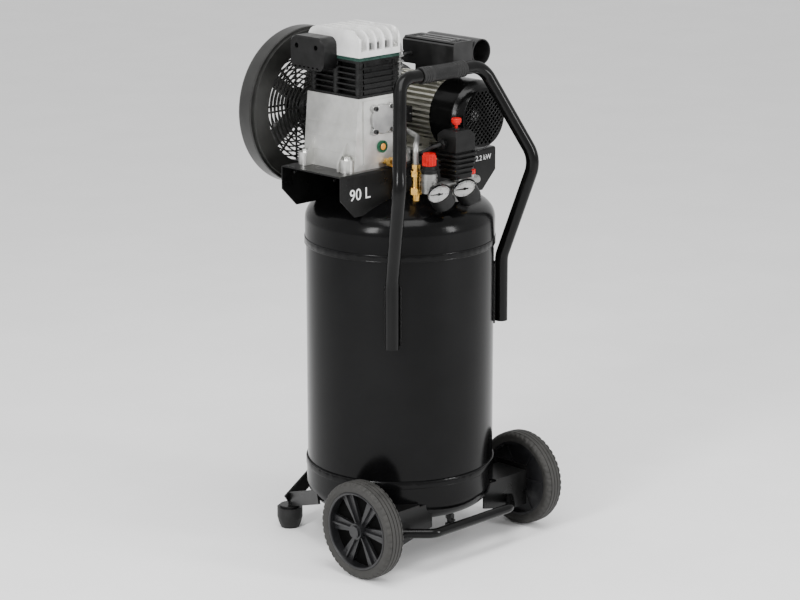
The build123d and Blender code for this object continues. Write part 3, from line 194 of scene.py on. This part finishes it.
BRASS = finish("turned_brass", (0.55, 0.3, 0.06), (0.8, 0.5, 0.14), (0.16, 0.3), patch=150.0, grain=2400.0,
               relief=0.06, metallic=1.0)
COPPER = finish("drawn_copper", (0.5, 0.22, 0.1), (0.68, 0.34, 0.18), (0.2, 0.32), patch=120.0,
                grain=2000.0, relief=0.05, metallic=1.0)
RED = finish("red_plastic", (0.44, 0.001, 0.0006), (0.56, 0.002, 0.001), (0.24, 0.34), patch=80.0,
             grain=1500.0, relief=0.06, specular=0.25)
AMBER = finish("amber_window", (0.55, 0.2, 0.02), (0.75, 0.34, 0.05), (0.12, 0.22), patch=200.0,
               grain=1500.0, relief=0.04, coat=0.6)
GREEN = finish("green_ring", (0.006, 0.06, 0.03), (0.015, 0.11, 0.05), (0.25, 0.4), patch=90.0,
               grain=1200.0, relief=0.08, metallic=0.4)
BLACK_OXIDE = finish("black_oxide", (0.008, 0.008, 0.008), (0.016, 0.016, 0.016), (0.3, 0.42), patch=150.0,
                     grain=2000.0, relief=0.08)
CAST_IRON = finish("grey_iron", (0.06, 0.06, 0.06), (0.12, 0.12, 0.12), (0.4, 0.55), patch=60.0,
                   grain=1000.0, relief=0.25, metallic=0.6)
DIAL_WHITE = finish("dial_white", (0.74, 0.74, 0.73), (0.82, 0.82, 0.81), (0.45, 0.55), patch=60.0,
                    grain=1500.0, relief=0.02)
DIAL_INK = finish("dial_ink", (0.008, 0.008, 0.008), (0.014, 0.014, 0.014), (0.5, 0.6))
LABEL_INK = finish("label_ink", (0.72, 0.72, 0.72), (0.82, 0.82, 0.82), (0.4, 0.5), relief=0.03)
LENS = clear_glass()


BOX_PLASTIC = finish("box_plastic", (0.006, 0.006, 0.006), (0.011, 0.011, 0.011), (0.28, 0.38), patch=40.0,
                     grain=1500.0, relief=0.1, specular=0.5)


# ---- mesh helpers ----------------------------------------------------------------------
def keep(name, mesh, material, body="frame", smooth=True, angle=35):
    """Object from a mesh, shaded smooth up to an angle, riding on a body."""
    for face in mesh.faces:
        face.smooth = smooth
    for edge in mesh.edges:
        if len(edge.link_faces) == 2 and edge.calc_face_angle(0) > radians(angle):
            edge.smooth = False
    data = bpy.data.meshes.new(name)
    mesh.to_mesh(data)
    mesh.free()
    data.materials.append(material)
    piece = bpy.data.objects.new(name, data)
    bpy.context.scene.collection.objects.link(piece)
    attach(piece, body)
    return piece


def turned(mesh, outline, place, segments=48, shape=None):
    """Adds a closed ring of revolution. outline lists (radius, height) round a closed section, or from axis
    to axis; shape(index, radius, height) may change a point in one segment."""
    rings = []
    open_ended = outline[0][0] == 0
    for index in range(segments):
        angle = 2 * pi * index / segments
        ring = []
        for radius, height in outline:
            if shape:
                radius, height = shape(index, radius, height)
            if radius == 0 and index:
                ring.append(rings[0][len(ring)])
                continue
            point = place @ Vector((radius * cos(angle), radius * sin(angle), height))
            ring.append(mesh.verts.new(point))
        rings.append(ring)
    count = len(outline)
    for index in range(segments):
        here, there = rings[index], rings[(index + 1) % segments]
        for step in range(count - 1 if open_ended else count):
            corners = [here[step], there[step], there[(step + 1) % count], here[(step + 1) % count]]
            unique = list(dict.fromkeys(corners))
            if len(unique) > 2:
                mesh.faces.new(unique)
    return mesh


def along(point, direction, roll=0.0):
    """Frame at a point whose Z runs along a direction."""
    turn = Vector(direction).to_track_quat("Z", "Y").to_matrix().to_4x4()
    return Matrix.Translation(point) @ turn @ Matrix.Rotation(roll, 4, "Z")


def rounded_disc(radius, height, edge, steps=4, low=0.0):
    """Outline of a solid disc with a rounded upper edge, from axis to axis."""
    points = [(0, low), (radius, low)]
    for step in range(steps + 1):
        turn = pi / 2 * step / steps
        points.append((radius - edge + edge * cos(turn), low + height - edge + edge * sin(turn)))
    points.append((0, low + height))
    return points


def ring_outline(middle_r, thick, low=0.0, points=12):
    """Round section of a bead or O-ring."""
    return [(middle_r + thick * cos(2 * pi * step / points), low + thick * sin(2 * pi * step / points))
            for step in range(points)]


def six_sided(mesh, across, height, place, chamfer=0.0006):
    """Adds a hexagon head or nut whose corners are turned off at the top."""
    corner = across / 2 / cos(pi / 6)
    inner = across / 2 - chamfer
    levels = [(corner, 0.0), (corner, height - 2 * chamfer), (inner, height)]
    rings = [[mesh.verts.new(place @ Vector((r * cos(pi / 3 * k), r * sin(pi / 3 * k), z))) for k in range(6)]
             for r, z in levels]
    for low, high in zip(rings, rings[1:]):
        for k in range(6):
            mesh.faces.new((low[k], low[(k + 1) % 6], high[(k + 1) % 6], high[k]))
    mesh.faces.new(rings[0][::-1])
    mesh.faces.new(rings[-1])
    return mesh


def brick(mesh, low, high, place=Matrix.Identity(4)):
    """Adds a box between two corners."""
    centre = (Vector(low) + Vector(high)) / 2
    size = Vector(high) - Vector(low)
    matrix = place @ Matrix.Translation(centre) @ Matrix.Diagonal((*size, 1))
    bmesh.ops.create_cube(mesh, size=1.0, matrix=matrix)
    return mesh


def bevelled(piece, width, segments=2):
    """Rounds the sharp edges of a piece."""
    modifier = piece.modifiers.new("edges", "BEVEL")
    modifier.width = width
    modifier.segments = segments
    modifier.limit_method = "ANGLE"
    modifier.angle_limit = radians(40)
    modifier.harden_normals = True
    return piece


# ---- the CAD nodes that stay --------------------------------------------------------------
def dress(material, names, bevel=0.0):
    """Gives CAD nodes their material and rounds their edges."""
    for name in names:
        piece = nodes[name]
        for index in range(len(piece.material_slots)):
            piece.material_slots[index].material = material
        for polygon in piece.data.polygons:
            polygon.use_smooth = True
        weld = piece.modifiers.new("weld", "WELD")
        weld.merge_threshold = 0.00001
        if bevel:
            bevelled(piece, bevel)
        normals = piece.modifiers.new("normals", "WEIGHTED_NORMAL")
        normals.keep_sharp = True
        normals.weight = 80


def dress_frame():
    """Materials and edge rounding of every CAD node that is shown."""
    dress(PAINT, ["tank_shell", "tank_top_dome", "tank_bottom_dome"])
    dress(TUBE_PAINT, ["handle_frame", "front_rail"])
    dress(SHEET_PAINT, ["platform", "wheel_brackets", "foot_struts"], 0.0008)
    dress(GUARD, ["guard_inner", "guard_outer"], 0.0007)
    dress(RUBBER, ["rubber_feet", "drive_belt", "motor_lead", "handle_grip"], 0.001)
    dress(RIM_PLASTIC, ["rim_left", "rim_right"], 0.0008)
    dress(ZINC, ["wheel_axles", "zinc_bolts"], 0.0005)
    dress(CASE_METAL, ["crankcase"], 0.0011)
    dress(HEAD_METAL, ["cylinder_head"], 0.0014)
    dress(COVER_METAL, ["bearing_cover"], 0.0006)
    dress(BLACK_OXIDE, ["cover_screws"], 0.0005)
    dress(MOTOR_METAL, ["motor_housing", "motor_end_shields"], 0.0005)
    dress(DULL_METAL, ["air_manifold", "discharge_pipe"], 0.0005)
    dress(BLOCK_IRON, ["cylinder_block"], 0.0007)
    dress(GASKET, ["valve_plate"], 0.0003)
    dress(GREEN, ["sight_glass"], 0.0005)
    dress(BOX_PLASTIC, ["terminal_box"], 0.0009)
    dress(FINE_PLASTIC, ["air_filter", "oil_breather", "regulator_bonnet", "switch_body",
                         "switch_cover", "gauge_cases", "cooling_fan", "drain_wing"], 0.0009)
    dress(TUBE_PAINT, ["fan_cover"], 0.0007)
    dress(STEEL, ["capacitor", "ball_bearings", "crankshaft", "piston_front", "piston_rear", "motor_rotor",
                  "stator"], 0.0004)
    dress(CAST_IRON, ["flywheel", "motor_pulley"], 0.0006)
    dress(BRASS, ["check_valve", "brass_fittings"], 0.0004)
    dress(BLACK_OXIDE, ["drain_valve"], 0.0004)
    dress(COPPER, ["unloader_tube"])
    dress(RED, ["switch_knob", "regulator_knob", "outlet_knob"], 0.0006)
    dress(DIAL_INK, ["needle_left", "needle_right"])
    dress(LENS, ["gauge_lenses"], 0.0002)


# ---- wheels ----------------------------------------------------------------------------------
def tyre_piece(side, body, node):
    """Moulded tyre: ribbed tread, notched shoulders and a stepped sidewall."""
    radius, half, bead = TYRE_R, TYRE_HALF, RIM_R
    groove, depth = 0.9 * MM, 2.0 * MM
    flank = [(bead, half - 3.2 * MM), (bead + 1.6 * MM, half - 1.6 * MM), (bead + 6.5 * MM, half - 0.9 * MM),
             (bead + 7.2 * MM, half - 0.2 * MM), (bead + 10.5 * MM, half),
             (radius - 7.5 * MM, half - 0.1 * MM),
             (radius - 4.6 * MM, half - 0.9 * MM), (radius - 2.6 * MM, half - 2.8 * MM),
             (radius - 1.6 * MM, half - 5.2 * MM)]
    tread = []
    for middle in (13.5 * MM, 4.5 * MM):
        crown = radius - 1.8 * MM * (middle / half) ** 2
        tread += [(crown, middle + groove), (crown - depth, middle + 0.7 * groove),
                  (crown - depth, middle - 0.7 * groove), (crown, middle - groove)]
    upper = flank + tread
    outline = upper + [(r, -w) for r, w in reversed(upper)]
    lugs = 44
    per_lug = 6

    def notch(index, r, w):
        outer = 0 if w > 0 else per_lug // 2
        cut = (index + outer) % per_lug < 2
        if cut and abs(w) > 15 * MM and r > radius - 5 * MM:
            return r - 2.0 * MM, w * 0.985
        return r, w

    mesh = bmesh.new()
    place = Matrix.Translation((side * WHEEL_X, WHEEL_Y, TYRE_R)) @ Matrix.Rotation(side * pi / 2, 4, "Y")
    turned(mesh, outline, place, lugs * per_lug, notch)
    bmesh.ops.recalc_face_normals(mesh, faces=mesh.faces)
    piece = keep(f"{node}_moulded", mesh, TYRE, body, angle=50)
    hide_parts(node)
    return piece


def rim_trim(side, body, name):
    """Rolled outer lip of the rim and the ridge along each spoke."""
    half = TYRE_HALF
    mesh = bmesh.new()
    place = Matrix.Translation((side * WHEEL_X, WHEEL_Y, TYRE_R)) @ Matrix.Rotation(side * pi / 2, 4, "Y")
    lip = [(RIM_R - 5.4 * MM, half - 5 * MM), (RIM_R - 4.6 * MM, half - 2.6 * MM),
           (RIM_R - 2.6 * MM, half - 1.4 * MM), (RIM_R - 0.3 * MM, half - 2.0 * MM),
           (RIM_R + 0.1 * MM, half - 3.2 * MM), (RIM_R - 0.4 * MM, half - 5 * MM)]
    turned(mesh, lip, place, 96)
    for index in range(6):
        turn = place @ Matrix.Rotation(pi / 3 * (index + 0.5), 4, "Z")
        ridge_profile(mesh, turn)
    bmesh.ops.recalc_face_normals(mesh, faces=mesh.faces)
    return keep(name, mesh, RIM_PLASTIC, body, angle=30)


def web_shade(side, body, name):
    """Textured skin on the recessed web between the spokes, near-black as painted shade for the recess."""
    place = Matrix.Translation((side * WHEEL_X, WHEEL_Y, TYRE_R)) @ Matrix.Rotation(side * pi / 2, 4, "Y")
    inner, outer = 20 * MM, RIM_R - 4.8 * MM
    back, front = -2.2 * MM, -1.4 * MM
    outline = [(inner, back), (outer, back), (outer, front), (inner, front)]
    mesh = turned(bmesh.new(), outline, place, 72)
    bmesh.ops.recalc_face_normals(mesh, faces=mesh.faces)
    return keep(name, mesh, WEB_PAINTED_SHADE, body)


def ridge_profile(mesh, place):
    """Adds a tapered ridge on the spoke along +X, with a pair of ejector dots beside its outer end."""
    inner, outer = 18 * MM, RIM_R - 6 * MM
    low, top = 5.8 * MM, 12.5 * MM
    sections = []
    for reach, half, rise in ((inner, 2.6 * MM, top), (outer, 3.4 * MM, top - 1.5 * MM)):
        points = [(reach, -half, low), (reach, -half * 0.55, rise), (reach, half * 0.55, rise),
                  (reach, half, low)]
        sections.append([mesh.verts.new(place @ Vector(point)) for point in points])
    first, last = sections
    for k in range(4):
        mesh.faces.new((first[k], first[(k + 1) % 4], last[(k + 1) % 4], last[k]))
    mesh.faces.new(first[::-1])
    mesh.faces.new(last)
    for side in (-1, 1):
        dot = place @ Matrix.Translation((RIM_R - 13 * MM, side * 9 * MM, low))
        turned(mesh, rounded_disc(2.2 * MM, 1.2 * MM, 0.5 * MM), dot, 16)


# ---- tank ------------------------------------------------------------------------------------
def seam_beads():
    """Weld bead where each dome ends on the shell, and the fine line of the joggle beyond it."""
    mesh = bmesh.new()
    top, bottom = span("tank_top_dome")[0].z, span("tank_bottom_dome")[1].z
    joggle = 12 * MM

    def ripple(index, r, h):
        return r + 0.2 * MM * sin(index * 2.4), h

    for seam, side in ((top, 1), (bottom, -1)):
        outline = ring_outline(TANK_R + 1.4 * MM, 2.3 * MM, seam - side * 0.6 * MM, 8)
        turned(mesh, outline, Matrix.Identity(4), 240, ripple)
        outline = ring_outline(TANK_R + 2.6 * MM, 1.0 * MM, seam + side * joggle, 8)
        turned(mesh, outline, Matrix.Identity(4), 120)
    bmesh.ops.recalc_face_normals(mesh, faces=mesh.faces)
    return keep("seam_beads", mesh, PAINT)


def leg_welds():
    """Uneven weld beads on the tank along both sides of each handle leg."""
    leg_x, leg_y, low, high = 164.5 * MM, -142 * MM, 481 * MM, 610 * MM
    offset, pitch = 15.5 * MM, 4.3 * MM
    mesh = bmesh.new()
    for side in (-1, 1):
        middle = atan2(leg_y, side * leg_x)
        for edge in (-1, 1):
            angle = middle + edge * offset / TANK_R
            for step in range(int((high - low) / pitch)):
                size = (3.7 + 0.8 * sin(step * 2.7 + edge + side)) * MM
                turn = angle + 0.5 * MM * sin(step * 1.9 + side) / TANK_R
                centre = (TANK_R * cos(turn), TANK_R * sin(turn), low + step * pitch)
                blob = Matrix.Translation(centre) @ Matrix.Diagonal((size, size, 0.85 * size, 1))
                bmesh.ops.create_icosphere(mesh, subdivisions=2, radius=1.0, matrix=blob)
    return keep("leg_welds", mesh, TUBE_PAINT, angle=60)


# ---- gauges ----------------------------------------------------------------------------------
def gauge_frame(joint_name):
    """Frame of a gauge's face: X to the dial's right, Z out of the dial."""
    joint = joints[joint_name]
    out = Vector(joint["axis"]).normalized()
    down = Vector((0, -1, 0)) - out * Vector((0, -1, 0)).dot(out)
    x_axis = down.normalized()
    y_axis = out.cross(x_axis)
    matrix = Matrix((x_axis, y_axis, out)).transposed().to_4x4()
    return Matrix.Translation(joint["pos_m"]) @ matrix


def gauge_dial(side, joint_name):
    """White dial with a scale of ticks, its numbers, and a rounded bezel."""
    place = gauge_frame(joint_name)
    back = -3.4 * MM
    radius = 23.7 * MM
    mesh = bmesh.new()
    turned(mesh, rounded_disc(radius, 0.4 * MM, 0.1 * MM, 2), place @ Matrix.Translation((0, 0, back)), 64)
    keep(f"dial_{side}", mesh, DIAL_WHITE)
    ink = bmesh.new()
    level = back + 0.4 * MM
    ticks = 24
    for index in range(ticks + 1):
        major = index % 4 == 0
        angle = radians(205 - 270 * index / ticks)
        turn = place @ Matrix.Rotation(angle, 4, "Z")
        inner = (16.5 if major else 18.8) * MM
        half = (0.42 if major else 0.22) * MM
        brick(ink, (inner, -half, level - 0.05 * MM), (21.0 * MM, half, level + 0.08 * MM), turn)
    arc = [(21.0 * MM, level - 0.05 * MM), (21.4 * MM, level - 0.05 * MM), (21.4 * MM, level + 0.08 * MM),
           (21.0 * MM, level + 0.08 * MM)]
    turned(ink, arc, place, 64)
    bmesh.ops.recalc_face_normals(ink, faces=ink.faces)
    keep(f"dial_scale_{side}", ink, DIAL_INK)
    for index, number in enumerate("0246"):
        angle = radians(205 - 90 * index)
        centre = Vector((13.2 * MM * cos(angle), 13.2 * MM * sin(angle), level + 0.02 * MM))
        letter(f"dial_number_{side}_{number}", number, 4.4 * MM, place @ Matrix.Translation(centre)
               @ Matrix.Rotation(radians(-20), 4, "Z"), DIAL_INK, 0.04 * MM)
    bezel = bmesh.new()
    ring = [(23.9 * MM, -0.2 * MM), (25.1 * MM, -1.6 * MM), (25.6 * MM, 0.4 * MM), (25.4 * MM, 1.6 * MM),
            (24.7 * MM, 2.1 * MM), (24.0 * MM, 1.7 * MM)]
    turned(bezel, ring, place, 64)
    bmesh.ops.recalc_face_normals(bezel, faces=bezel.faces)
    keep(f"gauge_bezel_{side}", bezel, FINE_PLASTIC)


def letter(name, text, size, place, material, thickness, body="frame"):
    """Flat raised lettering as a mesh."""
    curve = bpy.data.curves.new(name, "FONT")
    curve.body = text
    curve.size = size
    curve.extrude = thickness
    curve.align_x = "CENTER"
    curve.align_y = "CENTER"
    source = bpy.data.objects.new(name, curve)
    mesh = bpy.data.meshes.new_from_object(source)
    bpy.data.objects.remove(source)
    mesh.transform(place)
    mesh.materials.clear()
    mesh.materials.append(material)
    piece = bpy.data.objects.new(name, mesh)
    bpy.context.scene.collection.objects.link(piece)
    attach(piece, body)
    return piece


def flange_labels():
    """Neutral size labels on the two cut corners of the front flange."""
    front = PLATE_LOW.y - 0.15 * MM
    upright = Matrix.Rotation(pi / 2, 4, "X")
    places = {"label_volume": ("90 L", -0.176, 0.794, 0.034), "label_power": ("2.2 kW", 0.193, 0.818, 0.016)}
    for name, (text, x, z, size) in places.items():
        letter(name, text, size, Matrix.Translation((x, front, z)) @ upright, LABEL_INK, 0.15 * MM)


# ---- small hardware ----------------------------------------------------------------------------
def guard_screws():
    """Small screws round the guard's joint."""
    face = span("guard_inner")[0].y
    r = 156 * MM
    mesh = bmesh.new()
    for angle in (50, 95, 140, 185, 230, 275):
        point = (CRANK_X + r * cos(radians(angle)), face, CRANK_Z + r * sin(radians(angle)))
        place = along(point, (0, -1, 0))
        turned(mesh, rounded_disc(3.6 * MM, 2.0 * MM, 1.2 * MM), place, 20)
    bmesh.ops.recalc_face_normals(mesh, faces=mesh.faces)
    return keep("guard_screws", mesh, BLACK_OXIDE)


def terminal_box_top():
    """Fields of small raised squares near both ends of the terminal box, with two ridges between them."""
    low, high, _ = span("terminal_box")
    top = 1081 * MM
    left, right = low.x + 13 * MM, low.x + 49 * MM
    square, pitch = 2.2 * MM, 4 * MM
    mesh = bmesh.new()
    for start in (low.y + 5 * MM, high.y - 25 * MM):
        for row in range(5):
            for column in range(9):
                corner = Vector((left + column * pitch, start + row * pitch, top - 0.2 * MM))
                brick(mesh, corner, corner + Vector((square, square, 0.9 * MM)))
    for x in (left + 8 * MM, right - 8 * MM):
        brick(mesh, (x, low.y + 30 * MM, top - 0.2 * MM), (x + 1.6 * MM, high.y - 30 * MM, top + 0.9 * MM))
    return keep("terminal_box_relief", mesh, BOX_PLASTIC, smooth=False)


def motor_plate():
    """Blank rating plate on the motor's side, with its two rivets."""
    face = MOTOR_X - 76 * MM
    y0, y1, z0, z1 = 36 * MM, 92 * MM, MOTOR_Z - 17 * MM, MOTOR_Z + 17 * MM
    mesh = brick(bmesh.new(), (face - 1.0 * MM, y0, z0), (face + 0.8 * MM, y1, z1))
    keep("motor_plate", mesh, BLACK_OXIDE, smooth=False)
    rivets = bmesh.new()
    for y in (y0 + 4 * MM, y1 - 4 * MM):
        place = along((face - 0.9 * MM, y, MOTOR_Z), (-1, 0, 0))
        turned(rivets, rounded_disc(1.8 * MM, 1.0 * MM, 0.7 * MM), place, 16)
    bmesh.ops.recalc_face_normals(rivets, faces=rivets.faces)
    return keep("motor_plate_rivets", rivets, ZINC)


def oil_window():
    """Amber oil behind the round window of the sight glass."""
    low, _, middle = span("sight_glass")
    place = along((middle.x, low.y, middle.z), (0, -1, 0))
    mesh = turned(bmesh.new(), rounded_disc(6.8 * MM, 1.2 * MM, 0.8 * MM), place, 40)
    bmesh.ops.recalc_face_normals(mesh, faces=mesh.faces)
    return keep("oil_window", mesh, AMBER)


def screw_washers():
    """Washers under the bearing cover's socket screws."""
    low, high, middle = span("cover_screws")
    reach = (high.x - low.x) / 2 - 5 * MM
    face = span("bearing_cover")[0].y + 1 * MM
    mesh = bmesh.new()
    for x_side in (-1, 1):
        for z_side in (-1, 1):
            point = (middle.x + x_side * reach, face, middle.z + z_side * reach)
            turned(mesh, rounded_disc(6.6 * MM, 0.8 * MM, 0.3 * MM), along(point, (0, -1, 0)), 32)
    bmesh.ops.recalc_face_normals(mesh, faces=mesh.faces)
    return keep("screw_washers", mesh, ZINC)


def gland_nut():
    """Clamping nut of the cable gland on the pressure switch."""
    low, _, _ = span("switch_cover")
    mesh = six_sided(bmesh.new(), 19 * MM, 8 * MM, along((low.x + 9 * MM, -128 * MM, 885 * MM), (-1, 0, 0)))
    bmesh.ops.recalc_face_normals(mesh, faces=mesh.faces)
    return keep("gland_nut", mesh, FINE_PLASTIC, angle=20)


def grip_rings():
    """Fine rings moulded round the middle of the handle's grip."""
    low, high, middle = span("handle_grip")
    sleeve = (high.z - low.z) / 2 - 1 * MM
    mesh = bmesh.new()
    place = along((0, middle.y, middle.z), (1, 0, 0))
    for step in range(-11, 12):
        turned(mesh, ring_outline(sleeve, 0.45 * MM, step * 2.8 * MM, 6), place, 48)
    bmesh.ops.recalc_face_normals(mesh, faces=mesh.faces)
    return keep("grip_rings", mesh, RUBBER)


# ---- stage -------------------------------------------------------------------------------------
def floor():
    """Plain pale floor."""
    mesh = bmesh.new()
    bmesh.ops.create_grid(mesh, x_segments=1, y_segments=1, size=12.0)
    data = bpy.data.meshes.new("floor")
    mesh.to_mesh(data)
    mesh.free()
    data.materials.append(finish("floor_pale", (0.88, 0.88, 0.88), (0.91, 0.91, 0.91), (0.7, 0.8), patch=3.0,
                                 grain=60.0, relief=0.01))
    piece = bpy.data.objects.new("floor", data)
    bpy.context.scene.collection.objects.link(piece)


def area_light(name, place, aim, size, power, height=None):
    """Soft rectangular light aimed at a point."""
    light = bpy.data.lights.new(name, "AREA")
    light.energy = power
    light.size = size
    if height:
        light.shape = "RECTANGLE"
        light.size_y = height
    lamp = bpy.data.objects.new(name, light)
    lamp.location = place
    lamp.rotation_euler = (Vector(aim) - Vector(place)).to_track_quat("-Z", "Y").to_euler()
    bpy.context.scene.collection.objects.link(lamp)


def studio():
    """Even white surroundings with a large soft light on each side and one above."""
    world = bpy.data.worlds.new("studio")
    world.use_nodes = True
    world.node_tree.nodes["Background"].inputs["Color"].default_value = (1.0, 1.0, 1.0, 1)
    world.node_tree.nodes["Background"].inputs["Strength"].default_value = 1.0
    bpy.context.scene.world = world
    middle = (0, 0, 0.6)
    area_light("key_left", (-3.2, -0.6, 2.2), middle, 0.7, 105, 1.7)
    area_light("fill_right", (1.2, -3.6, 1.7), middle, 0.6, 78, 1.7)
    area_light("top", (-0.6, -0.8, 3.6), middle, 2.0, 90)


def camera():
    """Camera at a three-quarter view from the handle's side, looking down a little."""
    distance, height, heading, down, lens = 5.3926, 1.9417, -45.03, 14.7, 117.3
    data = bpy.data.cameras.new("camera")
    data.lens = lens
    data.sensor_width = 36
    data.clip_end = 60
    viewer = bpy.data.objects.new("camera", data)
    viewer.location = (distance * sin(radians(heading)), -distance * cos(radians(heading)), height)
    viewer.rotation_euler = (radians(90 - down), 0, radians(heading))
    bpy.context.scene.collection.objects.link(viewer)
    bpy.context.scene.camera = viewer


dress_frame()
tyre_piece(-1, "wheel_left", "tyre_left")
tyre_piece(1, "wheel_right", "tyre_right")
rim_trim(-1, "wheel_left", "rim_trim_left")
rim_trim(1, "wheel_right", "rim_trim_right")
web_shade(-1, "wheel_left", "rim_web_painted_shade_left")
web_shade(1, "wheel_right", "rim_web_painted_shade_right")
seam_beads()
leg_welds()
gauge_dial("left", "left_needle_sweep")
gauge_dial("right", "right_needle_sweep")
flange_labels()
guard_screws()
terminal_box_top()
motor_plate()
oil_window()
screw_washers()
gland_nut()
grip_rings()
floor()
studio()
camera()
